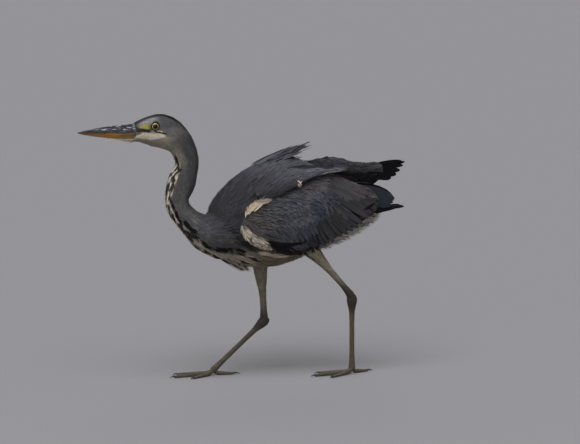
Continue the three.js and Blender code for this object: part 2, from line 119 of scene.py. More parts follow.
@dataclass(frozen=True)
class Drawing:
    """Turns the part's drawing millimetres into the frame's metres.

    Attributes:
        eyes: the point midway between the eyes in the drawing, in millimetres.
    """

    eyes: tuple = (-303.4, 0.0, 520.2)

    def shift(self) -> Array:
        """Returns what is added to a drawn place, in millimetres."""
        corners = [corner for side in ("left", "right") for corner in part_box("eye_" + side)]
        return sum(np.array(corner) for corner in corners) / len(corners) / MM - np.array(self.eyes)

    def metres(self, points: Array) -> Array:
        """Returns drawn points as places in the frame."""
        return (np.asarray(points, float) + SHIFT) * MM

    def millimetres(self, points: Array) -> Array:
        """Returns places in the frame as drawn points."""
        return np.asarray(points, float) / MM - SHIFT


DRAWING = Drawing()
SHIFT = DRAWING.shift()


def link(mesh: bpy.types.Mesh, name: str) -> bpy.types.Object:
    """Adds a mesh to the scene as an object at the origin."""
    thing = bpy.data.objects.new(name, mesh)
    bpy.context.scene.collection.objects.link(thing)
    return thing


def vectors(rows: bpy.types.bpy_prop_collection, name: str) -> Array:
    """Returns one vector property of a mesh's rows, one row each."""
    flat = np.empty(len(rows) * 3, np.float32)
    rows.foreach_get(name, flat)
    return flat.reshape(-1, 3).astype(float)


def coordinates(mesh: bpy.types.Mesh) -> Array:
    """Returns the mesh's vertices in metres, one row each."""
    return vectors(mesh.vertices, "co")


def vertex_normals(mesh: bpy.types.Mesh) -> Array:
    """Returns the mesh's vertex normals, one row each."""
    return vectors(mesh.vertex_normals, "vector")


def face_corners(mesh: bpy.types.Mesh) -> list:
    """Returns the mesh's faces as lists of vertex numbers."""
    return [list(polygon.vertices) for polygon in mesh.polygons]


def put(mesh: bpy.types.Mesh, places: Array) -> None:
    """Moves the mesh's vertices to places in the frame, one row each."""
    mesh.vertices.foreach_set("co", places.astype(np.float32).ravel())


def shade_smooth(mesh: bpy.types.Mesh) -> None:
    """Makes every face of the mesh shade smoothly."""
    mesh.polygons.foreach_set("use_smooth", [True] * len(mesh.polygons))


def by_side(points: Array, left: float, right: float) -> Array:
    """Returns one value for drawn points on the left of the bird, another for the rest."""
    return np.where(points[:, 1] < 0, left, right)


def finish_piece(thing: bpy.types.Object, material: bpy.types.Material) -> None:
    """Gives a piece its material and its body, and reports it.

    Args:
        thing: the finished object.
        material: what it is made of.
    """
    thing.data.materials.clear()
    thing.data.materials.append(material)
    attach(thing, BODY)
    thing.data.calc_loop_triangles()
    log.info("%s: %d triangles", thing.name, len(thing.data.loop_triangles))


# ---------------------------------------------------------------- surfaces


class Surface:
    """A closed shape, in drawing millimetres, that feathers and markings are laid on."""

    def __init__(self, points: Array, faces: list, normals: Array) -> None:
        """Keeps the shape.

        Args:
            points: its vertices.
            faces: its faces, as lists of vertex numbers.
            normals: its vertex normals.
        """
        self.points = points
        self.faces = faces
        self.tree = BVHTree.FromPolygons(points.tolist(), faces)
        self.face_normals = unit(np.array([normals[face].mean(axis=0) for face in faces]))

    @classmethod
    def of_mesh(cls, mesh: bpy.types.Mesh) -> "Surface":
        """Makes a surface from a mesh in the frame."""
        return cls(DRAWING.millimetres(coordinates(mesh)), face_corners(mesh), vertex_normals(mesh))

    def settle(self, points: Array) -> tuple:
        """Finds the nearest places on the surface.

        Args:
            points: drawn points.

        Returns:
            The places, and the surface's normals there.
        """
        places = np.empty_like(points)
        normals = np.empty_like(points)
        nearest = self.tree.find_nearest
        for row, point in enumerate(points.tolist()):
            place, _, face, _ = nearest(point)
            places[row] = place
            normals[row] = self.face_normals[face]
        return places, normals

    def thickness(self, points: Array, normals: Array, most: float) -> Array:
        """Measures how thick the shape is straight below some of its points.

        Args:
            points: places on the surface.
            normals: the surface's normals there.
            most: the thickness that counts as thick.

        Returns:
            The thicknesses, none above most.
        """
        start = points - normals * 0.2
        found = np.full(len(points), most)
        cast = self.tree.ray_cast
        for row, (origin, way) in enumerate(zip(start.tolist(), (-normals).tolist())):
            distance = cast(origin, way, most)[3]
            if distance is not None:
                found[row] = distance
        return found


def node_mesh(name: str) -> bmesh.types.BMesh:
    """Returns a copy of a CAD node's mesh with its corners joined."""
    copy = bmesh.new()
    copy.from_mesh(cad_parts[name].data)
    bmesh.ops.remove_doubles(copy, verts=copy.verts, dist=1e-6)
    copy.normal_update()
    return copy


def gathered(names: list, title: str, swell: float = 0.0) -> bpy.types.Object:
    """Puts copies of several CAD nodes into one object.

    Args:
        names: the nodes.
        title: a name for the object.
        swell: how far each node grows first, in millimetres.

    Returns:
        The object.
    """
    merged = bmesh.new()
    for name in names:
        part = node_mesh(name)
        for vertex in part.verts:
            vertex.co += vertex.normal * swell * MM
        step = bpy.data.meshes.new("step")
        part.to_mesh(step)
        part.free()
        merged.from_mesh(step)
        bpy.data.meshes.remove(step)
    rough = bpy.data.meshes.new(title + "_rough")
    merged.to_mesh(rough)
    merged.free()
    return link(rough, title + "_rough")


def applied(thing: bpy.types.Object, title: str) -> bpy.types.Mesh:
    """Returns an object's mesh with its modifiers applied, and removes the object."""
    ready = thing.evaluated_get(bpy.context.evaluated_depsgraph_get())
    mesh = bpy.data.meshes.new_from_object(ready)
    mesh.name = title
    bpy.data.objects.remove(thing)
    return mesh


def fused(names: list, title: str, voxel: float, swell: float, rounds: int) -> bpy.types.Mesh:
    """Fuses several CAD nodes into one smooth closed mesh.

    Args:
        names: the nodes.
        title: a name for the mesh.
        voxel: the size of its faces, in millimetres.
        swell: how far each node grows first, so that the gaps between them close.
        rounds: how often the result is smoothed.

    Returns:
        The mesh.
    """
    thing = gathered(names, title, swell)
    remesh = thing.modifiers.new("Remesh", "REMESH")
    remesh.mode = "VOXEL"
    remesh.voxel_size = voxel * MM
    even = thing.modifiers.new("Smooth", "SMOOTH")
    even.factor = 0.5
    even.iterations = rounds
    return applied(thing, title)


# ---------------------------------------------------------------- the neck's line and the markings


class Neck:
    """The line of head and neck in the plane Y = 0, and where a point lies along and round it."""

    LINE = [
        (-346, 510), (-324, 510), (-294, 508), (-277, 504.5), (-261, 496.5), (-246, 485),
        (-235, 468), (-228, 449), (-228, 431), (-236, 411), (-244, 390), (-249, 370),
        (-246, 351), (-232, 332), (-210, 314), (-184, 300), (-152, 296),
    ]
    READINGS = 260

    def __init__(self) -> None:
        """Reads the line closely and measures along it."""
        self.line = curve_through(self.LINE, self.READINGS)
        self.tangents = unit(np.gradient(self.line, axis=0))
        steps = np.linalg.norm(np.diff(self.line, axis=0), axis=1)
        self.arcs = np.concatenate([[0.0], np.cumsum(steps)])

    def locate(self, points: Array) -> tuple:
        """Finds where points lie on the neck.

        Args:
            points: drawn points.

        Returns:
            The distance along the line in mm, the angle in degrees from the throat round to the
            nape, the distance from the line, and the line's direction there, as 3-D vectors.
        """
        flat = points[:, [0, 2]]
        nearest = np.concatenate(
            [
                np.linalg.norm(part[:, None, :] - self.line[None], axis=2).argmin(axis=1)
                for part in np.array_split(flat, max(1, len(flat) // 4000))
            ]
        )
        tangent = self.tangents[nearest]
        offset = flat - self.line[nearest]
        nape = offset[:, 1] * tangent[:, 0] - offset[:, 0] * tangent[:, 1]
        angle = np.degrees(np.arctan2(np.abs(points[:, 1]), -nape))
        reach = np.hypot(points[:, 1], nape)
        way = np.stack([tangent[:, 0], np.zeros(len(points)), tangent[:, 1]], axis=1)
        return self.arcs[nearest], angle, reach, way


NECK = Neck()


class Region(Enum):
    """The parts of the plumage that have markings of their own."""

    HEAD = "head"
    NECK = "neck"
    TRUNK = "trunk"
    SHOULDER = "shoulder"
    WING = "wing"
    THIGH = "thigh"
    LEG = "leg"


TURN_COS, TURN_SIN = 0.9063, 0.4226  # of the view's 25 degrees round the bird
RISE_COS, RISE_X, RISE_Y = 0.9903, 0.0588, 0.1261  # its 8 degrees upwards, and their shares of X and Y
FAR_SIDE_DROP = 7.0  # how much further down the far side's markings lie, in mm


def quarter_view(points: Array) -> Array:
    """Lays drawn points out flat, in mm, as seen from ahead and to one side.

    The far side is laid out like the near one, a little further down, so that the two differ.
    """
    x, y, z = points[:, 0], np.abs(points[:, 1]), points[:, 2]
    apart = FAR_SIDE_DROP * smooth(1, 9, points[:, 1])
    right = TURN_COS * x + TURN_SIN * y
    up = RISE_COS * z + RISE_X * x - RISE_Y * y + apart
    return np.stack([right, up], axis=1)


@dataclass(frozen=True)
class Streak:
    """A broken dark line on both sides of the body.

    Attributes:
        points: the line, in mm on the quarter view.
        half: its half width.
        period: the length of a dash and the gap after it, or 0 for an unbroken line.
        duty: the share of the period that is dark.
        start: how far the pattern is shifted.
    """

    points: tuple
    half: float
    period: float = 0.0
    duty: float = 1.0
    start: float = 0.0

    def mask(self, points: Array) -> Array:
        """Returns how dark each point is, from 0 to 1."""
        line = curve_through(self.points, 60)
        arcs = np.concatenate([[0.0], np.cumsum(np.linalg.norm(np.diff(line, axis=0), axis=1))])
        places = quarter_view(points)
        reach = self.half * 2
        inside = ((places > line.min(axis=0) - reach) & (places < line.max(axis=0) + reach)).all(axis=1)
        mask = np.zeros(len(points))
        if not inside.any():
            return mask
        gaps = np.linalg.norm(places[inside][:, None] - line[None], axis=2)
        nearest = gaps.argmin(axis=1)
        along = arcs[nearest] + self.start + 2.5 * np.sin(arcs[nearest] * 0.11)
        dark = np.ones(len(nearest))
        if self.period:
            share = (along % self.period) / self.period
            dark = band(0.03, self.duty, 0.06, share)
        taper = 0.62 + 0.38 * np.sin(along * 0.31)
        width = self.half * (0.8 + 0.35 * taper)
        mask[inside] = (1.0 - smooth(width * 0.82, width * 1.12, gaps.min(axis=1))) * dark
        return mask


@dataclass(frozen=True)
class Palette:
    """The plumage's colours, in linear light."""

    crown: Array = field(default_factory=lambda: linear(100, 99, 104))
    nape: Array = field(default_factory=lambda: linear(18, 18, 22))
    cheek: Array = field(default_factory=lambda: linear(116, 113, 109))
    cream: Array = field(default_factory=lambda: linear(224, 212, 190))
    blush: Array = field(default_factory=lambda: linear(186, 156, 134))
    tan: Array = field(default_factory=lambda: linear(158, 150, 134))
    lore: Array = field(default_factory=lambda: linear(192, 174, 62))
    hindneck: Array = field(default_factory=lambda: linear(76, 76, 80))
    neck_side: Array = field(default_factory=lambda: linear(92, 91, 91))
    black: Array = field(default_factory=lambda: linear(10, 10, 13))
    mantle: Array = field(default_factory=lambda: linear(95, 95, 102))
    # The mantle's grey in painted shade, for the lower back that the light from above reaches less.
    mantle_shaded: Array = field(default_factory=lambda: linear(70, 69, 74))
    breast: Array = field(default_factory=lambda: linear(74, 71, 69))
    belly: Array = field(default_factory=lambda: linear(132, 121, 99))
    vent: Array = field(default_factory=lambda: linear(196, 190, 180))
    wing_brown: Array = field(default_factory=lambda: linear(88, 83, 83))
    wing_blue: Array = field(default_factory=lambda: linear(74, 76, 83))
    quill: Array = field(default_factory=lambda: linear(54, 54, 58))
    slate: Array = field(default_factory=lambda: linear(54, 58, 69))
    thigh: Array = field(default_factory=lambda: linear(142, 132, 112))
    leg: Array = field(default_factory=lambda: linear(96, 85, 66))
    ankle: Array = field(default_factory=lambda: linear(44, 37, 31))


PALETTE = Palette()
BILL_BASE = 13.0  # how much further back the lower bill's bare base reaches at the gape, in mm

HEELS = (152.0, 106.0)  # the height of the left and the right heel joint, in mm
LEG_TOPS = (214.0, 172.0)  # where the left and the right bare leg go into the thigh, in mm
SCUTE_TOPS = (196.0, 156.0)  # the highest scutes of the left and the right leg, in mm

BREAST_LIGHTS = (
    Streak(((-228, 292), (-206, 270), (-184, 256), (-156, 242), (-127, 235), (-98, 229), (-74, 222)), 5.8),
    Streak(((-94, 243), (-78, 235), (-60, 227)), 1.9),
)
THROAT_STREAKS = (
    Streak(((-228, 432), (-226.5, 425), (-224, 416), (-223, 408)), 2.6),
    Streak(((-227, 412), (-236, 401), (-243, 393), (-249, 385), (-251, 378)), 1.8, 15, 0.86, 3),
    Streak(
        ((-222, 406), (-230, 400), (-236, 390), (-242, 382), (-245, 371), (-248, 358), (-250, 346)),
        2.8, 31, 0.96, 2,
    ),
    Streak(((-253, 346), (-251, 338), (-246, 327), (-239, 315), (-233, 305)), 1.5, 26, 0.9),
    Streak(
        ((-232, 388), (-236, 376), (-240, 363), (-241, 350), (-238, 341), (-232, 329), (-226, 316),
         (-219, 303), (-215, 294)),
        3.1, 37, 0.96, 6,
    ),
    Streak(((-246, 339), (-240, 326), (-234, 314), (-229, 303)), 2.3, 22, 0.9),
    Streak(((-224, 300), (-218, 292), (-211, 283)), 2.4),
    Streak(((-210, 303), (-203, 295), (-196, 288), (-188, 282)), 4.2),
    Streak(
        ((-207, 284), (-199, 278), (-189, 273), (-178, 266), (-167, 256), (-156, 250), (-138, 247),
         (-112, 249), (-92, 245)),
        4.0, 36, 0.92, 3,
    ),
    Streak(((-204, 274), (-193, 265)), 2.8),
    Streak(((-203, 266), (-198, 259), (-190, 255), (-181, 251)), 1.8),
    Streak(((-171, 246), (-159, 240), (-145, 233), (-124, 226), (-101, 216)), 2.4, 27, 0.82, 5),
    Streak(((-112, 243), (-86, 236), (-62, 226)), 2.4, 30, 0.85),
    Streak(((-96, 225), (-78, 219)), 2.2),
)


class Plumage:
    """The bird's colours and markings as a function of place, for skin and coat alike."""

    FAR_WING = (12.0, 0.0, 17.0)

    def colour(self, points: Array, region: Region) -> Array:
        """Returns the linear colours of drawn points on one region."""
        makers = {
            Region.HEAD: self.head,
            Region.NECK: self.neck,
            Region.TRUNK: self.trunk,
            Region.SHOULDER: self.shoulder,
            Region.WING: self.wing,
            Region.THIGH: self.thigh,
            Region.LEG: self.leg,
        }
        return makers[region](np.asarray(points, float))

    @staticmethod
    def plain(points: Array, colour: Array) -> Array:
        """Returns one colour for every point."""
        return np.repeat(colour[None, :], len(points), axis=0)

    @staticmethod
    def side_line(points: Array, line: list, half: float) -> Array:
        """Returns 1 within half of a line drawn on the bird's side, in X and Z."""
        x, z = points[:, 0], points[:, 2]
        nearest = np.full(len(points), 1e9)
        for (x0, z0), (x1, z1) in zip(line[:-1], line[1:]):
            run, rise = x1 - x0, z1 - z0
            share = np.clip(((x - x0) * run + (z - z0) * rise) / (run**2 + rise**2), 0, 1)
            nearest = np.minimum(nearest, np.hypot(x - x0 - share * run, z - z0 - share * rise))
        return 1.0 - smooth(half * 0.7, half * 1.3, nearest)

    def head(self, points: Array) -> Array:
        """Returns the head's colours: grey crown, pale cheek, dark gape and nape, yellow lore."""
        x, y, z = points[:, 0], np.abs(points[:, 1]), points[:, 2]
        colour = blend(
            self.plain(points, PALETTE.cheek), PALETTE.crown, smooth(508, 520, z - (x + 303) * 0.1)
        )
        mottle = 0.5 + 0.5 * np.sin(x * 0.9 + z * 0.5) * np.sin(x * 0.31 - z * 1.1)
        colour = colour * (0.88 + 0.24 * mottle)[:, None]
        forehead = band(-338, -298, 9, x) * smooth(520, 526, z)
        colour = blend(colour, linear(182, 180, 178), forehead * (0.45 + 0.55 * mottle))
        colour = blend(colour, PALETTE.crown * 0.55, smooth(-316, -258, x) * smooth(511, 520, z) * 0.8)
        ridge = (1 - smooth(5, 11.5, y)) * smooth(516, 525, z)
        colour = blend(colour, PALETTE.nape * 0.8, ridge * 0.92)
        low = np.interp(x, (-345, -310, -285), (498, 493, 497))
        high = np.interp(x, (-345, -330, -300, -283), (507, 509.5, 505.5, 503.5))
        throat = 1 - smooth(-1, 3, z - low)
        colour = blend(colour, PALETTE.tan, throat * (1 - smooth(-285, -250, x)) * 0.9)
        pale = (1 - smooth(-290, -278, x)) * smooth(-1.5, 1.5, z - low) * (1 - smooth(-1, 1.5, z - high))
        colour = blend(colour, PALETTE.cream * 1.2, pale * 0.92)
        chin = 1 - smooth(-352, -346, x)
        colour = blend(colour, PALETTE.cream * 0.8, chin * 0.9)
        bare = (1 - smooth(-1.5, 1.0, x + 347 - BILL_BASE * smooth(500, 508, z))) * band(499, 509.5, 1.0, z)
        colour = blend(colour, linear(122, 112, 66), bare * 0.95)
        dusky = self.side_line(points, [(-347, 522), (-343, 514.5), (-328, 513.5), (-316, 512.5)], 4.0)
        colour = blend(colour, PALETTE.nape * 2.2, dusky * 0.85)
        gape = [(-330, 514), (-314, 512), (-300, 508.2), (-290, 506), (-281, 504.2)]
        colour = blend(colour, PALETTE.nape, self.side_line(points, gape, 1.5) * 0.95)
        crescent = self.side_line(points, [(-304, 512.6), (-298, 510.6), (-292, 509.8)], 1.1)
        colour = blend(colour, PALETTE.cream, crescent * 0.8)
        wedge = self.side_line(points, [(-275, 541.5), (-258, 533), (-246, 524), (-238, 512)], 4.4)
        colour = blend(colour, PALETTE.nape, wedge * 0.95)
        colour = blend(colour, self.neck(points), smooth(66, 118, NECK.locate(points)[0]))
        middle = np.interp(x, (-339, -318), (520.0, 521.2))
        half = np.interp(x, (-339, -331, -318), (0.8, 3.4, 5.8)) * (1 + 0.22 * np.sin(x * 1.7))
        lore = 1 - smooth(-0.9, 0.5, np.abs(z - middle) - half)
        return blend(colour, PALETTE.lore, lore * band(-339, -317.5, 1.2, x) * (0.8 + 0.2 * mottle))

    def neck(self, points: Array) -> Array:
        """Returns the neck's colours: grey sides, cream throat and the broken black streaks."""
        arc, angle, _, _ = NECK.locate(points)
        # The grey darkens towards the nape: partly the darker grey hindneck, partly painted shade on the
        # side turned from the light.
        shade = 0.72 + 0.5 * smooth(150, 300, arc) - 0.22 * smooth(100, 150, angle)
        colour = self.plain(points, PALETTE.neck_side) * shade[:, None]
        colour = blend(colour, PALETTE.hindneck * 0.8, smooth(105, 155, angle) * 0.7)
        edge = 37 + 4 * np.sin(arc * 0.045) + 10 * smooth(270, 350, arc) - 14 * (1 - smooth(160, 205, arc))
        fade = smooth(135, 185, arc)
        colour = blend(
            colour, PALETTE.tan, (1 - fade) * (1 - smooth(25, 80, angle)) * smooth(60, 95, arc) * 0.85
        )
        colour = blend(colour, PALETTE.cream * 1.1, fade * (1 - smooth(edge - 4, edge + 5, angle)) * 0.94)
        colour = blend(colour, self.body(points), smooth(272, 338, arc))
        return self.streaked(colour, points)

    def streaked(self, colour: Array, points: Array) -> Array:
        """Returns the colours with the broken black streaks of throat and breast over them."""
        for streak in BREAST_LIGHTS:
            colour = blend(colour, PALETTE.cream * 0.7, streak.mask(points) * 0.78)
        for streak in THROAT_STREAKS:
            colour = blend(colour, PALETTE.black, streak.mask(points) * 0.94)
        return colour

    def body(self, points: Array) -> Array:
        """Returns the trunk's colours without the streaks."""
        x, y, z = points[:, 0], np.abs(points[:, 1]), points[:, 2]
        # Painted shade: the trunk starts from the shaded mantle grey, and the lit mantle grey takes over
        # towards the top.
        colour = self.plain(points, PALETTE.mantle_shaded)
        colour = blend(colour, PALETTE.mantle, smooth(385, 432, z + 0.12 * x))
        front = 1 - smooth(-205, -150, x)
        colour = blend(colour, PALETTE.neck_side, front * (1 - smooth(292, 325, z)) * 0.9)
        colour = blend(colour, PALETTE.breast, (1 - smooth(272, 306, z)) * (1 - front))
        rise = 22 * (1 - smooth(-90, -30, x))
        under = 1 - smooth(236, 262, z - 0.18 * (x + 60) - 0.1 * y - rise * 0.7)
        colour = blend(colour, PALETTE.belly, under * 0.9)
        colour = blend(colour, PALETTE.tan, (1 - smooth(-110, -50, x)) * under * 0.6)
        vent = smooth(40, 90, x) * (1 - smooth(12, 40, z - (262 + (x - 60) * 0.42)))
        colour = blend(colour, PALETTE.vent, vent)
        # Painted shadow: a dark line on the trunk along the wing's front and lower edge, where the wing
        # shades the body.
        wing_edge_shadow = self.side_line(points, [(-148, 306), (-129, 281), (-106, 266), (-86, 258)], 4.5)
        colour = blend(colour, PALETTE.black, wing_edge_shadow * 0.6)
        # The bird's own cream line under the wing's leading edge.
        hem_and_shadow = self.side_line(points, [(-84, 256), (-56, 249), (-28, 245)], 3.2)
        return blend(colour, PALETTE.cream * 1.05, hem_and_shadow * 0.95)

    def trunk(self, points: Array) -> Array:
        """Returns the trunk's colours: grey mantle, sides darkened with painted shade, olive belly, pale
        vent.
        """
        return self.streaked(self.body(points), points)

    def shoulder(self, points: Array) -> Array:
        """Returns the colours of the long shoulder feathers, lighter towards their tips."""
        x, z = points[:, 0], points[:, 2]
        colour = self.plain(points, PALETTE.mantle)
        colour = blend(self.body(points), colour, smooth(-80, 20, x) * 0.8)
        colour = colour * (1 + 0.45 * smooth(-30, 60, x) * smooth(395, 420, z))[:, None]
        # Painted shadow: a dark line in the slit along the top of the shoulder feathers.
        slit_shadow = self.side_line(points, [(-34, 427), (0, 426), (40, 424), (76, 419)], 2.6)
        colour = blend(colour, PALETTE.black, slit_shadow * 0.8)
        # Painted shadow: a dark line under the lower edge of the shoulder feathers, where they overhang the
        # wing.
        hem_and_shadow = self.side_line(points, [(-94, 364), (-60, 369), (-36, 378), (-18, 387)], 2.4)
        return blend(colour, PALETTE.black, hem_and_shadow * 0.7)

    def wing(self, points: Array) -> Array:
        """Returns the folded wing's colours: brownish shoulder, bluish coverts, cream wrist."""
        far = points[:, 1] > 0
        flat = points - far[:, None] * np.array(self.FAR_WING)
        x, z = flat[:, 0], flat[:, 2]
        colour = self.plain(points, PALETTE.wing_brown * 0.84)
        blueish = smooth(-95, -55, x) * (1 - smooth(60, 90, x))
        colour = blend(colour, PALETTE.wing_blue * 0.95, blueish * 0.75)
        colour = blend(colour, PALETTE.wing_brown * 0.66, smooth(52, 84, x) * 0.65)
        crown = smooth(366, 386, z + 0.16 * x)
        colour = blend(colour, PALETTE.wing_brown, crown * 0.42)
        # Painted shadow: dark lines in the slits between the long feathers at the wing's rear.
        blades = np.sin(0.77 * x + 0.64 * z + 1.5 * np.sin(0.03 * z))
        slit_shadows = smooth(0.78, 0.95, blades) * smooth(70, 88, x) * (1 - smooth(352, 372, z))
        colour = blend(colour, PALETTE.black, slit_shadows * 0.85)
        blue = self.side_line(flat, [(24, 348), (33, 326), (38, 306)], 9.5)
        # Painted shade: a dark edge round the blue feather, where the feathers beside it meet it.
        rim = self.side_line(flat, [(24, 348), (33, 326), (38, 306)], 11.5) - blue
        colour = blend(colour, linear(52, 58, 70), blue * 0.95)
        colour = blend(colour, PALETTE.black, np.clip(rim, 0, 1) * 0.35)
        above = self.side_line(flat, [(58, 362), (82, 350)], 13.0)
        colour = blend(colour, linear(54, 59, 69), above * 0.75)
        mottle = np.sin(x * 0.21 + z * 0.13) * np.sin(z * 0.19 - x * 0.07)
        colour = colour * (1.0 + 0.14 * mottle)[:, None]
        wrist = self.side_line(flat, [(-136, 302), (-119, 288), (-100, 277), (-84, 270)], 10.5)
        fleck = 0.5 + 0.5 * np.sin(x * 0.8 + 2 * np.sin(z * 0.6)) * np.sin(z * 0.9 - x * 0.3)
        wrist = wrist * (1 - 0.85 * smooth(0.6, 0.8, fleck))
        colour = blend(colour, PALETTE.cream * 0.82, wrist * 0.95)
        wave = 3.4 * np.sin(x * 0.55 + 1.6 * np.sin(x * 0.21))
        ragged = flat + np.array([0.0, 0.0, 1.0]) * wave[:, None]
        under = self.side_line(ragged, [(-68, 268), (-43, 259), (-8, 249), (31, 258)], 7.5)
        colour = blend(colour, PALETTE.black * 1.5, under * 0.86)
        grey = far * smooth(-60, 10, x) * (1 - smooth(118, 148, x))
        colour = blend(colour, PALETTE.mantle * 1.15, grey * 0.85)
        colour = blend(colour, linear(66, 66, 70), far * smooth(118, 148, x) * 0.85)
        x, z = points[:, 0], points[:, 2]
        # The far wing's darker underside, with painted shadow between the wings, laid on in black.
        gap = far * smooth(70, 112, x) * (1 - smooth(392, 404, z + 0.1 * (x - 142)))
        return blend(colour, PALETTE.black * 1.5, gap * 0.9)

    def thigh(self, points: Array) -> Array:
        """Returns the thigh's colours, tan and paler towards the shank."""
        grain = np.sin(points[:, 0] * 0.5 + points[:, 2] * 0.23) * np.sin(points[:, 2] * 0.41)
        return self.plain(points, PALETTE.thigh) * (1 + 0.14 * grain)[:, None]

    def leg(self, points: Array) -> Array:
        """Returns the bare leg's colours: olive tan above, dark at the heel, brown below."""
        z = points[:, 2]
        heel = by_side(points, *HEELS)
        colour = self.plain(points, PALETTE.leg)
        colour = blend(colour, PALETTE.thigh, smooth(14, 46, z - heel) * 0.85)
        reach = by_side(points, 44.0, 24.0)
        near_heel = 1 - smooth(0.25, 1.0, np.abs(z - heel) / reach)
        return blend(colour, PALETTE.ankle, near_heel * by_side(points, 0.9, 0.7))


PLUMAGE = Plumage()


# ---------------------------------------------------------------- the skin


@dataclass(frozen=True)
class Eye:
    """Where an eyeball sits, and which way it looks.

    Attributes:
        side: the side of the body.
        radius: the eyeball's radius.
        opening: half the angle of the opening between the lids, in degrees.
        forward: how far it looks ahead, as a share of how far it looks to the side.
    """

    side: int
    radius: float = 9.5
    opening: float = 52.0
    forward: float = 0.30

    def centre(self) -> Array:
        """Returns the eyeball's centre as a drawn point."""
        low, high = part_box("eye_" + NAMES[self.side])
        return DRAWING.millimetres((np.array(low) + np.array(high)) / 2)

    def axis(self) -> Array:
        """Returns the direction in which the eye looks."""
        return unit(np.array([-self.forward, self.side, 0.03]))

    def angle(self, points: Array) -> Array:
        """Returns the angles in degrees between the eye's axis and some points."""
        rays = unit(points - self.centre())
        return np.degrees(np.arccos(np.clip(rays @ self.axis(), -1, 1)))


EYES = (Eye(LEFT), Eye(RIGHT))


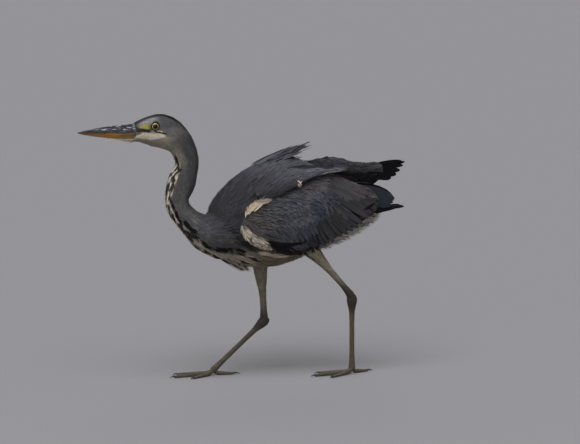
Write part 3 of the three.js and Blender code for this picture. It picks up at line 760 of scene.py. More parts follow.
@dataclass
class Flesh:
    """The shape under the coat: a fused outer form, and one skin that lies inside it.

    Attributes:
        body_voxel: size of the body's faces, in mm.
        leg_voxel: size of the legs' faces, in mm.
        swell: how far each solid grows so that they fuse.
        depths: how deep the skin lies under the plumage, by region, in mm.
        bare: the surface of the bare legs and feet, once they are made.
    """

    body_voxel: float = 2.2
    leg_voxel: float = 1.2
    swell: float = 0.5
    bare: Surface | None = None
    depths: dict = field(
        default_factory=lambda: {
            Region.HEAD: 0.9,
            Region.NECK: 2.2,
            Region.TRUNK: 4.2,
            Region.SHOULDER: 4.0,
            Region.WING: 3.0,
            Region.THIGH: 2.2,
            Region.LEG: 0.0,
        }
    )

    BODY_NODES = {
        "head": Region.HEAD,
        "neck_upper": Region.NECK,
        "neck_middle": Region.NECK,
        "neck_lower": Region.NECK,
        "trunk": Region.TRUNK,
        "scapulars_left": Region.SHOULDER,
        "scapulars_right": Region.SHOULDER,
        "wing_left_coverts": Region.WING,
        "wing_right_coverts": Region.WING,
        "wing_left_quills": Region.WING,
        "wing_right_quills": Region.WING,
        "thigh_left": Region.THIGH,
        "thigh_right": Region.THIGH,
    }
    LEG_NODES = ["thigh", "shank", "tarsus"]
    TOES = ["middle", "inner", "outer", "hind"]
    REGIONS = list(Region)

    def leg_names(self) -> list:
        """Returns the names of the legs' nodes."""
        sides = NAMES.values()
        limbs = [f"{part}_{side}" for side in sides for part in self.LEG_NODES]
        return limbs + [f"toe_{side}_{toe}" for side in sides for toe in self.TOES]

    def label(self, points: Array) -> Array:
        """Returns, for each drawn point, the number of the region whose solid is nearest."""
        places, faces, owners = [], [], []
        for name, region in self.BODY_NODES.items():
            node = node_mesh(name)
            base = len(places)
            places += DRAWING.millimetres([tuple(v.co) for v in node.verts]).tolist()
            faces += [[base + v.index for v in face.verts] for face in node.faces]
            owners += [self.REGIONS.index(region)] * len(node.faces)
            node.free()
        tree = BVHTree.FromPolygons(places, faces)
        return np.array([owners[tree.find_nearest(point)[2]] for point in points.tolist()])

    @staticmethod
    def socket(points: Array, inner: float) -> Array:
        """Dishes the head towards the eyeballs.

        Args:
            points: the head's points.
            inner: how far from the eyeball's centre the surface ends at the lids.

        Returns:
            The points, moved.
        """
        moved = points.copy()
        for eye in EYES:
            rays = moved - eye.centre()
            distance = np.linalg.norm(rays, axis=1)
            angle = eye.angle(moved)
            pull = 1 - smooth(eye.opening - 2, eye.opening + 30, angle)
            target = np.where(angle < eye.opening - 3, eye.radius - 1.0, inner)
            goal = np.minimum(distance, target)
            near = (distance < 18) & (angle < eye.opening + 30)
            radius = np.where(near, distance + (goal - distance) * pull, distance)
            moved = eye.centre() + unit(rays) * radius[:, None]
        return moved

    def build(self) -> tuple:
        """Makes the skin.

        Returns:
            The skin's object, the outer surface that the coat reaches, and its points' regions.
        """
        outer = fused(list(self.BODY_NODES), "outer", self.body_voxel, self.swell, 5)
        points = DRAWING.millimetres(coordinates(outer))
        faces = face_corners(outer)
        labels = self.label(points)
        shoulders = (labels == self.REGIONS.index(Region.SHOULDER)).astype(float)
        points = self.soften(points, outer, np.minimum(self.spread(shoulders, outer, 8) * 1.7, 1), 80)
        put(outer, DRAWING.metres(points))
        outer.update()
        normals = vertex_normals(outer)
        points = self.socket(points, EYES[0].radius + 0.9)
        surface = Surface(points, faces, normals)
        depth = np.array([self.depths[region] for region in self.REGIONS])[labels]
        depth = self.spread(depth, outer, 8)
        depth = np.minimum(depth, 0.28 * surface.thickness(points, normals, 30.0))
        depth = self.spread(depth, outer, 3)
        inner = points - normals * depth[:, None]
        put(outer, DRAWING.metres(inner))
        colours = np.zeros_like(points)
        for index, region in enumerate(self.REGIONS):
            chosen = labels == index
            if chosen.any():
                colours[chosen] = PLUMAGE.colour(points[chosen], region)
        paint(outer, colours * 0.75)
        skin = link(outer, "skin")
        self.join(skin, self.legs())
        return skin, surface, labels

    @staticmethod
    def spread(values: Array, mesh: bpy.types.Mesh, rounds: int) -> Array:
        """Evens values out between neighbouring vertices."""
        ends = np.empty(len(mesh.edges) * 2, np.int32)
        mesh.edges.foreach_get("vertices", ends)
        first, second = ends[0::2], ends[1::2]
        count = np.bincount(ends, minlength=len(values))
        for _ in range(rounds):
            total = np.bincount(first, values[second], len(values))
            total += np.bincount(second, values[first], len(values))
            values = 0.5 * values + 0.5 * total / np.maximum(count, 1)
        return values

    def soften(self, points: Array, mesh: bpy.types.Mesh, weight: Array, rounds: int) -> Array:
        """Evens a surface out where weight says.

        Args:
            points: its points.
            mesh: the mesh that they belong to.
            weight: how much each gives way, from 0 to 1.
            rounds: how often.

        Returns:
            The points, moved.
        """
        for _ in range(rounds):
            even = np.stack([self.spread(points[:, axis], mesh, 1) for axis in range(3)], axis=1)
            points = points + (even - points) * weight[:, None]
        return points

    def legs(self) -> bpy.types.Object:
        """Makes the bare legs and feet, whose tops are sunk inside the body's thighs."""
        mesh = fused(self.leg_names(), "legs", self.leg_voxel, self.swell * 0.8, 4)
        points = DRAWING.millimetres(coordinates(mesh))
        normals = vertex_normals(mesh)
        heights = points[:, 2]
        top = by_side(points, *LEG_TOPS)
        points = points - normals * (smooth(-4, 10, heights - top) * 3.6)[:, None]
        places = DRAWING.metres(points)
        places[:, 2] = np.maximum(places[:, 2], 0.0)
        put(mesh, places)
        self.bare = Surface(points, face_corners(mesh), normals)
        paint(mesh, PLUMAGE.colour(points, Region.LEG) * 0.7)
        return link(mesh, "legs")

    @staticmethod
    def join(skin: bpy.types.Object, other: bpy.types.Object) -> None:
        """Joins another object's mesh into the skin's and smooths its shading."""
        with bpy.context.temp_override(active_object=skin, selected_editable_objects=[skin, other]):
            bpy.ops.object.join()
        shade_smooth(skin.data)
        skin.data.update()


def paint(mesh: bpy.types.Mesh, colours: Array, whole: Array | float = 1.0) -> None:
    """Writes the plumage colour of every vertex.

    Args:
        mesh: the mesh.
        colours: linear colours, one row for each vertex.
        whole: 1 where the surface is plain, less where it carries painted highlight flecks and dark stains.
    """
    layer = mesh.attributes.new("Plumage", "FLOAT_COLOR", "POINT")
    rgba = np.ones((len(mesh.vertices), 4), np.float32)
    rgba[:, :3] = colours
    rgba[:, 3] = whole
    layer.data.foreach_set("color", rgba.ravel())


# ---------------------------------------------------------------- feathers


class Vane:
    """One feather's mesh: a thin closed leaf that is bent, sized and copied along the coat."""

    def __init__(self, sides: int, shares: tuple, widths: tuple) -> None:
        """Builds the leaf.

        Args:
            sides: how many corners its section has.
            shares: where its rings stand, from 0 at the root to 1 at the tip.
            widths: its half width at each ring, as a share of the widest.
        """
        self.shares = np.array(shares)
        leaf = bmesh.new()
        bmesh.ops.create_cone(leaf, segments=sides, radius1=1, radius2=1, depth=1)
        bmesh.ops.translate(leaf, verts=leaf.verts, vec=(0, 0, 0.5))
        for share in shares[1:-1]:
            everything = leaf.verts[:] + leaf.edges[:] + leaf.faces[:]
            bmesh.ops.bisect_plane(leaf, geom=everything, plane_co=(0, 0, share), plane_no=(0, 0, 1))
        for end in (0, 1):
            ring = [vertex for vertex in leaf.verts if abs(vertex.co.z - end) < 1e-4]
            bmesh.ops.pointmerge(leaf, verts=ring, merge_co=(0, 0, end))
        bmesh.ops.recalc_face_normals(leaf, faces=leaf.faces)
        leaf.verts.index_update()
        places = np.array([tuple(vertex.co) for vertex in leaf.verts])
        self.across, self.rise, self.along = places.T
        self.rows = np.abs(self.along[:, None] - self.shares[None]).argmin(axis=1)
        self.widths = np.array(widths)[self.rows]
        self.faces = [[vertex.index for vertex in face.verts] for face in leaf.faces]
        leaf.free()


CONTOUR = Vane(4, (0, 0.16, 0.45, 0.76, 0.93, 1), (0.2, 0.62, 0.96, 0.92, 0.5, 0.05))
HAIR = Vane(4, (0, 0.18, 0.5, 0.8, 1), (0.25, 0.8, 1.0, 0.6, 0.03))
QUILL = Vane(
    8,
    (0, 0.06, 0.16, 0.3, 0.45, 0.6, 0.74, 0.86, 0.94, 0.985, 1),
    (0.2, 0.45, 0.72, 0.88, 0.96, 1.0, 0.98, 0.86, 0.62, 0.3, 0.04),
)
SCUTE = Vane(6, (0, 0.12, 0.5, 0.88, 1), (0.3, 0.85, 1.0, 0.85, 0.3))


@dataclass
class Lines:
    """Where a batch of feathers lies.

    Attributes:
        points: the places of each feather's rings, feather by ring by 3.
        normals: the way up at those places.
        half: each feather's half width.
        thick: each feather's thickness.
        camber: how far its edges droop, as a share of its half width.
        colours: its colour at each ring.
        roots: where its patch lies on the unwrap, from 0 to 1.
    """

    points: Array
    normals: Array
    half: Array
    thick: Array
    camber: Array
    colours: Array
    roots: Array

    @classmethod
    def merge(cls, batches: list) -> "Lines":
        """Puts batches of feathers with equally many rings together."""
        names = ("points", "normals", "half", "thick", "camber", "colours", "roots")
        return cls(*(np.concatenate([getattr(batch, name) for batch in batches]) for name in names))


PATCH = 0.003  # the size of a feather's patch on the unwrap


def stamp(name: str, lines: Lines, vane: Vane) -> bpy.types.Object:
    """Makes one joined mesh of many feathers.

    Args:
        name: the piece's name.
        lines: where the feathers lie.
        vane: the leaf that each of them is.

    Returns:
        The object.
    """
    rows = vane.rows
    ways = unit(np.gradient(lines.points, axis=1))
    sides = unit(np.cross(ways, lines.normals))
    ups = np.cross(sides, ways)
    spread = (lines.half[:, None] * vane.widths)[:, :, None]
    lift = vane.rise * lines.thick[:, None] * np.sqrt(np.maximum(vane.widths, 0.1)) / 2
    droop = lines.camber[:, None] * vane.across**2 * spread[:, :, 0]
    places = lines.points[:, rows] + sides[:, rows] * spread * vane.across[:, None]
    places = places + ups[:, rows] * (lift - droop)[:, :, None]
    count, size = len(lines.points), len(rows)
    corners = np.concatenate([np.array(face) for face in vane.faces])
    totals = np.array([len(face) for face in vane.faces])
    loops = (corners[None] + np.arange(count)[:, None] * size).ravel()
    starts = np.concatenate([[0], np.cumsum(np.tile(totals, count))[:-1]])
    mesh = bpy.data.meshes.new(name)
    mesh.vertices.add(count * size)
    put(mesh, DRAWING.metres(places.reshape(-1, 3)))
    mesh.loops.add(len(loops))
    mesh.loops.foreach_set("vertex_index", loops.astype(np.int32))
    mesh.polygons.add(len(starts))
    mesh.polygons.foreach_set("loop_start", starts.astype(np.int32))
    mesh.update(calc_edges=True)
    mesh.polygons.foreach_set("use_smooth", np.ones(len(starts), bool))
    mesh.set_sharp_from_angle(angle=math.radians(75))
    paint(mesh, lines.colours[:, rows].reshape(-1, 3))
    across = np.tile(vane.across, count)
    along = np.tile(vane.along, count)
    vane_map = np.stack([across * 0.5 + 0.5, along], axis=1)
    patches = np.repeat(lines.roots, size, axis=0)
    bake_map = patches + np.stack([across * 0.5, along - 0.5], axis=1) * PATCH
    for title, values in (("OFBake", bake_map), ("Vane", vane_map)):
        layer = mesh.uv_layers.new(name=title)
        layer.data.foreach_set("uv", values[loops].astype(np.float32).ravel())
    return link(mesh, name)


# ---------------------------------------------------------------- the lie of the coat

Flow = Callable[[Array], Array]


def heading(degrees: Array) -> Array:
    """Returns directions in the plane of X and Z, at angles above the bird's backward level."""
    turn = np.radians(degrees)
    return np.stack([np.cos(turn), np.zeros_like(turn), np.sin(turn)], axis=-1)


@dataclass(frozen=True)
class Guides:
    """A flow drawn by a few arrows on the bird's side; between them it turns evenly.

    Attributes:
        arrows: x, z and the angle in degrees, upwards from straight back.
        power: how tightly an arrow rules its neighbourhood.
    """

    arrows: tuple
    power: float = 3.0

    def __call__(self, points: Array) -> Array:
        """Returns the flow at drawn points."""
        arrows = np.array(self.arrows, float)
        gap = np.hypot(
            points[:, 0, None] - arrows[None, :, 0], points[:, 2, None] - arrows[None, :, 1]
        )
        weight = 1.0 / (gap + 4.0) ** self.power
        return unit(weight @ heading(arrows[:, 2]))


def along_neck(points: Array) -> Array:
    """Returns the flow down the neck, from the bill to the breast."""
    return NECK.locate(points)[3]


def round_eyes(points: Array) -> Array:
    """Returns the head's flow: back from the bill, parting round the eyes."""
    way = along_neck(points)
    for eye in EYES:
        away = points - eye.centre()
        distance = np.linalg.norm(away, axis=1, keepdims=True)
        pull = np.clip(1 - (distance - 11.0) / 7.0, 0, 1)
        outward = unit(away)
        inward = np.minimum((way * outward).sum(axis=1, keepdims=True), 0)
        way = unit(way - outward * inward * pull * 1.4)
    return way


MANTLE = Guides(
    (
        (-178, 320, 60), (-165, 352, 52), (-140, 388, 44), (-100, 408, 38), (-50, 432, 32),
        (-10, 438, 26), (30, 430, -8), (80, 408, -22), (140, 384, -18), (185, 360, -14),
        (-130, 345, 30), (-80, 380, 32), (-20, 400, 18), (-160, 300, -6), (-150, 268, -22),
        (-110, 275, -8), (-100, 238, -12), (-60, 226, 0), (-40, 270, 4), (0, 232, 18),
        (50, 255, 22), (110, 275, 22), (160, 300, 22), (40, 320, -10), (120, 340, -8),
    )
)
SHOULDERS = Guides(
    (
        (-105, 380, 40), (-80, 380, 30), (-70, 410, 32), (-45, 385, 16), (-30, 420, 14),
        (-10, 400, -4), (30, 415, -10), (70, 415, -8), (105, 413, -6),
    )
)
WING_FLOW = Guides(
    (
        (-132, 300, -40), (-115, 335, -12), (-85, 362, -14), (-45, 382, -18), (0, 402, -20),
        (-100, 300, -28), (-70, 330, -30), (-60, 285, -42), (-40, 345, -36), (-35, 290, -55),
        (-5, 285, -68), (-10, 350, -48), (25, 310, -68), (20, 370, -42), (50, 330, -52),
        (60, 395, -28), (85, 345, -34), (110, 375, -26), (110, 320, -30), (150, 350, -24),
    )
)


@dataclass(frozen=True)
class Limb:
    """The flow down a thigh, from its root to its foot.

    Attributes:
        root: a drawn point.
        foot: a drawn point.
    """

    root: tuple
    foot: tuple

    def __call__(self, points: Array) -> Array:
        """Returns the flow at drawn points."""
        way = unit(np.array(self.foot, float) - np.array(self.root, float))
        return np.repeat(way[None], len(points), axis=0)


# ---------------------------------------------------------------- tracts of small feathers


@dataclass(frozen=True)
class Tract:
    """A stretch of small feathers of one kind.

    Attributes:
        name: the piece's name.
        region: its markings.
        slot: a name for its slot.
        flow: the lie of its feathers.
        keep: says which drawn points belong to it.
        spacing: the distance between roots, in mm.
        length: the feathers' length at drawn points, in mm.
        half: half the feathers' width, as a share of their length.
        depth: how deep the coat is, in mm.
        lift: how far the tips stand above the coat's face, in mm.
        spine: two drawn points: the axis that the unwrap goes round.
        vane: the leaf.
        thick: the leaf's thickness in mm.
        ragged: how much the lie strays, in degrees.
        shade: how much the brightness strays.
    """

    name: str
    region: Region
    slot: str
    flow: Flow
    keep: Callable[[Array], Array]
    spacing: float
    length: Callable[[Array], Array]
    half: float
    depth: float
    spine: tuple
    lift: float = 0.0
    vane: Vane = HAIR
    thick: float = 0.35
    ragged: float = 7.0
    shade: float = 0.12


def unwrap(points: Array, spine: tuple) -> Array:
    """Lays points out by their place along an axis and round it.

    Args:
        points: drawn points.
        spine: the axis's two ends.

    Returns:
        Places from 0 to 1, one row each.
    """
    start, end = (np.array(place, float) for place in spine)
    axis = unit(end - start)
    side = unit(np.cross(axis, (0.0, 0.0, 1.0)))
    up = np.cross(side, axis)
    rays = points - start
    along = rays @ axis
    angle = np.arctan2(rays @ side, rays @ up)
    span = max(float(np.ptp(along)), 1e-6)
    return 0.02 + 0.96 * np.stack(
        [(along - along.min()) / span, (angle + math.pi) / (2 * math.pi)], axis=1
    )


class Groomer:
    """Sows roots on the outer surface and combs feathers along it."""

    def __init__(self, surface: Surface, labels: Array) -> None:
        """Keeps the surface and measures its faces.

        Args:
            surface: the coat's outer surface.
            labels: the region number of each of its points.
        """
        self.surface = surface
        faces = np.array([face if len(face) == 4 else face[:3] + face[2:3] for face in surface.faces])
        self.corners = surface.points[faces]
        first = np.cross(self.corners[:, 1] - self.corners[:, 0], self.corners[:, 2] - self.corners[:, 0])
        second = np.cross(self.corners[:, 2] - self.corners[:, 0], self.corners[:, 3] - self.corners[:, 0])
        self.areas = (np.linalg.norm(first, axis=1) + np.linalg.norm(second, axis=1)) / 2
        self.regions = labels[faces[:, 0]]
        self.random = np.random.default_rng(20)

    def sow(self, region: Region, keep: Callable, spacing: float) -> Array:
        """Scatters roots evenly over a tract.

        Args:
            region: the region that they lie in.
            keep: says which points belong to the tract.
            spacing: the least distance between them, in mm.

        Returns:
            The roots, as drawn points.
        """
        chosen = np.flatnonzero(self.regions == Flesh.REGIONS.index(region))
        centres = self.corners[chosen].mean(axis=1)
        chosen = chosen[keep(centres)]
        area = self.areas[chosen].sum()
        count = int(area / spacing**2 * 3.2)
        picks = self.random.choice(chosen, count, p=self.areas[chosen] / area)
        u, v = self.random.random((2, count, 1))
        a, b, c, d = (self.corners[picks, k] for k in range(4))
        points = (a * (1 - u) + b * u) * (1 - v) + (d * (1 - u) + c * u) * v
        return self.thin(points, spacing)

    @staticmethod
    def thin(points: Array, spacing: float) -> Array:
        """Drops the points that lie closer than spacing to an earlier one."""
        cells = np.floor(points / spacing).astype(int).tolist()
        taken: dict = {}
        kept = []
        around = [(i, j, k) for i in (-1, 0, 1) for j in (-1, 0, 1) for k in (-1, 0, 1)]
        least = spacing**2
        for row, ((x, y, z), (i, j, k)) in enumerate(zip(points.tolist(), cells)):
            near = (taken.get((i + di, j + dj, k + dk), ()) for di, dj, dk in around)
            if any(
                (x - p) ** 2 + (y - q) ** 2 + (z - r) ** 2 < least for cell in near for p, q, r in cell
            ):
                continue
            taken.setdefault((i, j, k), []).append((x, y, z))
            kept.append(row)
        return points[kept]

    def comb(self, roots: Array, flow: Flow, lengths: Array, shares: Array, stray: Array) -> tuple:
        """Leads centre-lines over the surface.

        Args:
            roots: where the feathers start.
            flow: their lie.
            lengths: their lengths in mm.
            shares: where their rings stand, from 0 to 1.
            stray: the angle in degrees by which each leaves the flow.

        Returns:
            The places and normals of the rings, feather by ring by 3.
        """
        place, normal = self.surface.settle(roots)
        places, normals = [place], [normal]
        turn = np.radians(stray)[:, None]
        for gap in np.diff(shares):
            way = flow(place)
            way = unit(way - normal * (way * normal).sum(axis=1, keepdims=True))
            way = way * np.cos(turn) + np.cross(normal, way) * np.sin(turn)
            place, normal = self.surface.settle(place + way * (lengths * gap)[:, None])
            places.append(place)
            normals.append(normal)
        return np.stack(places, axis=1), np.stack(normals, axis=1)

    def lines(self, tract: Tract, roots: Array | None = None) -> Lines:
        """Combs one tract.

        Args:
            tract: the tract.
            roots: its roots, sown here if none are given.

        Returns:
            Its feathers' lines.
        """
        if roots is None:
            roots = self.sow(tract.region, tract.keep, tract.spacing)
        count = len(roots)
        lengths = tract.length(roots) * self.random.uniform(0.85, 1.15, count)
        stray = self.random.normal(0, tract.ragged, count)
        shares = tract.vane.shares
        places, normals = self.comb(roots, tract.flow, lengths, shares, stray)
        height = -tract.depth * (1.15 - 1.05 * shares[None] ** 0.8)
        height = height + tract.lift * shares[None] ** 2
        height = height + self.random.uniform(-0.16, 0.16, (count, 1)) * tract.depth
        places = places + normals * height[:, :, None]
        middle = places[:, len(shares) // 2 + 1]
        tone = self.random.normal(0, tract.shade, (count, 1))
        warmth = self.random.normal(0, tract.shade * 0.25, (count, 1))
        tint = 1 + tone + warmth * np.array([1.0, 0.0, -1.0])
        colour = PLUMAGE.colour(middle, tract.region) * np.clip(tint, 0.5, 1.6)
        # Painted shade: each feather darkens towards its root, where the ones above overlap it.
        root_shade = 0.8 + 0.2 * smooth(0.1, 0.7, shares)
        colours = colour[:, None, :] * root_shade[None, :, None]
        return Lines(
            places,
            normals,
            lengths * tract.half * self.random.uniform(0.85, 1.15, count),
            np.full(count, tract.thick),
            self.random.uniform(0.15, 0.35, count),
            colours,
            unwrap(roots, tract.spine),
        )


def constant(value: float) -> Callable:
    """Returns a function that gives one value for every point."""
    return lambda points: np.full(len(points), value)


def everywhere(points: Array) -> Array:
    """Returns True for every point."""
    return np.ones(len(points), bool)


def head_length(points: Array) -> Array:
    """Returns the head's feather lengths: shortest at the bill and round the eyes."""
    x = points[:, 0]
    near = np.min([np.linalg.norm(points - eye.centre(), axis=1) for eye in EYES], axis=0)
    return (3.2 + 5.8 * smooth(-345, -262, x)) * (0.5 + 0.5 * smooth(10, 24, near))


def off_eyes(points: Array) -> Array:
    """Returns False inside the lids and on the bare lore."""
    clear = np.min([eye.angle(points) for eye in EYES], axis=0) > EYES[0].opening + 9
    far = np.min([np.linalg.norm(points - eye.centre(), axis=1) for eye in EYES], axis=0) > 17
    x, y, z = points.T
    front = -347 + 2.5 * np.sin(z * 0.9) * np.cos(y * 0.8)
    front = front + BILL_BASE * smooth(500, 508, z) * (z < 509.5)
    return (clear | far) & ((x > front) | (z < 501))


# ---------------------------------------------------------------- wings


class Blade:
    """One folded wing: its outline from the side, and places on its outer face."""

    READINGS = 48

    def __init__(self, side: int) -> None:
        """Fuses the wing's solids and measures their outline.

        Args:
            side: the side of the body.
        """
        self.side = side
        names = [f"wing_{NAMES[side]}_{part}" for part in ("coverts", "quills", "primaries")]
        mesh = fused(names, "blade", 2.0, 0.5, 4)
        self.surface = Surface.of_mesh(mesh)
        bpy.data.meshes.remove(mesh)
        points = self.surface.points
        self.start = DRAWING.millimetres(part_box(names[0])[0])[0]
        self.end = DRAWING.millimetres(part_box(names[1])[1])[0]
        self.grid = np.linspace(self.start, self.end, self.READINGS)
        reach = self.grid[1] - self.grid[0]
        near = np.abs(points[:, 0][None] - self.grid[:, None]) < reach
        self.top = np.array([points[row, 2].max() for row in near])
        self.bottom = np.array([points[row, 2].min() for row in near])

    def share(self, x: Array, z: Array) -> tuple:
        """Returns where points lie on the outline, as shares of its length and height."""
        low, high = np.interp(x, self.grid, self.bottom), np.interp(x, self.grid, self.top)
        return (x - self.start) / (self.end - self.start), (z - low) / (high - low)

    def at(self, u: Array, v: Array) -> tuple:
        """Returns the x and z of places given as shares of the outline."""
        x = self.start + u * (self.end - self.start)
        low, high = np.interp(x, self.grid, self.bottom), np.interp(x, self.grid, self.top)
        return x, low + v * (high - low)

    def outer(self, x: Array, z: Array) -> Array:
        """Returns the points of the outer face that lie at x and z."""
        far = 150.0
        found = []
        for px, pz in zip(x.tolist(), z.tolist()):
            hit = self.surface.tree.ray_cast((px, self.side * far, pz), (0, -self.side, 0))[0]
            if hit is None:
                hit = self.surface.tree.find_nearest((px, self.side * far * 0.3, pz))[0]
            found.append(tuple(hit))
        return np.array(found)


class WingPlan:
    """Maps what is drawn on the left wing onto either wing."""

    def __init__(self, left: Blade, blade: Blade) -> None:
        """Keeps both outlines."""
        self.left = left
        self.blade = blade

    def place(self, x: Array, z: Array) -> tuple:
        """Returns where a place drawn on the left wing lies on this one, in x and z."""
        if self.blade is self.left:
            return x, z
        return self.blade.at(*self.left.share(x, z))

    def guides(self, plan: Guides) -> Guides:
        """Returns a flow drawn on the left wing as this wing's own."""
        arrows = np.array(plan.arrows, float)
        turn = np.radians(arrows[:, 2])
        x, z = self.place(arrows[:, 0], arrows[:, 1])
        ahead = 6.0
        to_x, to_z = self.place(arrows[:, 0] + ahead * np.cos(turn), arrows[:, 1] + ahead * np.sin(turn))
        angle = np.degrees(np.arctan2(to_z - z, to_x - x))
        return Guides(tuple(zip(x.tolist(), z.tolist(), angle.tolist())), plan.power)


@dataclass(frozen=True)
class Row:
    """A row of large feathers on the wing, drawn on the left one.

    Attributes:
        name: what they are.
        roots: the curve along which they start, as x and z.
        count: how many there are.
        length: the first one's and the last one's length in mm.
        half: the first one's and the last one's half width in mm.
        colour: their colour in linear light.
        heights: how high root and tip stand over the wing's face, in mm.
        step: how much higher each stands than the one before.
        heading: the first one's and the last one's angle, or None to follow the wing's flow.
        bend: how much the angle changes from root to tip.
    """

    name: str
    roots: tuple
    count: int
    length: tuple
    half: tuple
    colour: Array
    heights: tuple = (-2.0, 0.3)
    step: float = 0.0
    heading: tuple | None = None
    bend: float = 0.0


BLACKISH = linear(17, 17, 21)

WING_ROWS = (
    Row(
        "secondaries", ((-28, 296), (8, 318), (40, 350), (72, 388)), 20, (62, 112), (6.4, 7.4),
        PALETTE.quill, (-2.4, -0.6), 0.11,
    ),
    Row(
        "greater", ((-82, 300), (-45, 312), (0, 338), (30, 362), (62, 394)), 25, (44, 60), (4.4, 6.2),
        PALETTE.wing_blue * 0.72, (-2.6, -1.0), 0.04,
    ),
)
EDGE_ROWS = (
    Row(
        "primary_coverts", ((-84, 278), (-64, 267), (-42, 258), (-14, 253)), 8, (52, 58), (5.4, 5.0),
        BLACKISH, (0.5, 2.0), -0.1, (-20, 16), 8,
    ),
    Row(
        "alula", ((-90, 286), (-74, 279)), 3, (40, 66), (4.4, 5.2),
        BLACKISH * 1.2, (1.0, 2.6), -0.2, (-20, -10), 8,
    ),
    Row(
        "outer_edge", ((-6, 258), (28, 264), (62, 286)), 6, (58, 112), (4.4, 5.0),
        BLACKISH, (0.4, 1.8), 0.1, (24, 30), 3,
    ),
)
TERTIALS = Row(
    "tertials", ((40, 366), (52, 384), (62, 398)), 7, (80, 94), (7.4, 8.6),
    (PALETTE.wing_brown + PALETTE.wing_blue) * 0.4, (-0.8, 0.6), 0.16, (-42, -24), -8,
)


class Wings:
    """Both folded wings: coverts, the long quills and the primaries beyond them."""

    COVER = (10.0, 64.0)

    def __init__(self, groomer: Groomer) -> None:
        """Prepares both outlines.

        Args:
            groomer: the one who combs the coat, whose chance numbers are shared.
        """
        self.groomer = groomer
        self.random = groomer.random
        self.blades = {side: Blade(side) for side in (LEFT, RIGHT)}

    def comb(self, blade: Blade, roots: Array, angles: Array, lengths: Array) -> tuple:
        """Leads centre-lines over a blade, and straight on past its edge.

        Args:
            blade: the wing.
            roots: where the feathers start.
            angles: each feather's angle at each ring, in degrees.
            lengths: their lengths in mm.

        Returns:
            The places and normals of the rings.
        """
        place, normal = blade.surface.settle(roots)
        places, normals = [place], [normal]
        for index, gap in enumerate(np.diff(QUILL.shares)):
            way = heading(angles[:, index])
            way = unit(way - normal * (way * normal).sum(axis=1, keepdims=True))
            free = place + way * (lengths * gap)[:, None]
            free[:, 1] = blade.side * np.minimum(free[:, 1] * blade.side, place[:, 1] * blade.side)
            landed, fresh = blade.surface.settle(free)
            off = np.linalg.norm(landed - free, axis=1, keepdims=True) > 1.2
            outward = fresh[:, 1:2] * blade.side < 0.2
            loose = off | outward
            place = np.where(loose, free, landed)
            normal = unit(np.where(loose, normal, 0.5 * normal + 0.5 * fresh))
            places.append(place)
            normals.append(normal)
        return np.stack(places, axis=1), np.stack(normals, axis=1)

    def row(self, blade: Blade, row: Row, plan: WingPlan, flow: Guides) -> Lines:
        """Lays one row of large feathers.

        Args:
            blade: the wing.
            row: the row.
            plan: maps the left wing's drawing onto this one.
            flow: the wing's lie.

        Returns:
            Their lines.
        """
        curve = curve_through(row.roots, row.count)
        share = np.linspace(0, 1, row.count)
        x, z = plan.place(curve[:, 0], curve[:, 1])
        roots = blade.outer(x, z)
        lengths = np.interp(share, (0, 1), row.length) * self.random.uniform(0.96, 1.04, row.count)
        if row.heading is None:
            way = flow(roots)
            base = np.degrees(np.arctan2(way[:, 2], way[:, 0]))
            middle = roots + way * lengths[:, None] * 0.6
            later = flow(middle)
            tip = np.degrees(np.arctan2(later[:, 2], later[:, 0]))
        else:
            drawn = Guides(tuple((*place, angle) for place, angle in zip(
                curve.tolist(), np.interp(share, (0, 1), row.heading).tolist())))
            base = np.array(plan.guides(drawn).arrows)[:, 2]
            tip = base + row.bend
        base = base + self.random.normal(0, 1.6, row.count)
        shares = QUILL.shares
        angles = base[:, None] + (tip - base)[:, None] * shares[None]
        for _ in range(12):
            end = roots + heading(angles.mean(axis=1)) * lengths[:, None]
            floor = np.interp(end[:, 0], blade.grid, blade.bottom)
            lengths = np.where(end[:, 2] < floor + 1.5, lengths * 0.95, lengths)
        places, normals = self.comb(blade, roots, angles, lengths)
        height = row.heights[0] + (row.heights[1] - row.heights[0]) * shares[None] ** 0.7
        height = height + row.step * np.arange(row.count)[:, None]
        places = places + normals * height[:, :, None]
        tone = self.random.normal(1, 0.09, (row.count, 1))
        # Painted shade: each quill darkens towards its root, where the feathers above cover it.
        colours = (row.colour[None] * tone)[:, None, :] * (0.66 + 0.38 * shares)[None, :, None]
        spine = ((blade.start, 0, 330), (blade.end, 0, 340))
        return Lines(
            places,
            normals,
            np.interp(share, (0, 1), row.half),
            np.full(row.count, 0.7),
            np.full(row.count, 0.13),
            colours,
            unwrap(roots, spine),
        )

    def coverts(self, blade: Blade, plan: WingPlan, flow: Guides) -> Tract:
        """Describes the small feathers over the wing's shoulder, wrist and inner face."""
        front = np.array(WING_ROWS[1].roots, float)
        line_x, line_z = plan.place(front[:, 0], front[:, 1])

        def keep(points: Array) -> Array:
            """Returns which points lie on this wing, above the larger feathers or on its inner face."""
            on_this = points[:, 1] * blade.side > 0
            edge = np.interp(points[:, 0] - self.COVER[0], line_x, line_z) - self.COVER[1]
            edge = edge + 6.0 * np.sin(points[:, 0] * 0.24) + 4.0 * np.sin(points[:, 0] * 0.63)
            below = points[:, 2] < edge
            inner = blade.surface.settle(points)[1][:, 1] * blade.side < 0.1
            behind = points[:, 0] > line_x[0] + 6
            return on_this & (inner | ~(below & behind))

        def length(points: Array) -> Array:
            """Returns the coverts' lengths: shortest at the wing's front and top."""
            u, v = blade.share(points[:, 0], points[:, 2])
            return 12 + 16 * smooth(0.08, 0.6, u) + 4 * (1 - smooth(0.4, 0.9, v))

        return Tract(
            f"coat_wing_{NAMES[blade.side]}", Region.WING, "plumage_dark", flow, keep,
            spacing=3.3, length=length, half=0.088, depth=2.6,
            spine=((blade.start, blade.side * 50, 330), (blade.end, blade.side * 50, 340)),
            vane=CONTOUR, thick=0.34, ragged=8, shade=0.2, lift=1.0,
        )

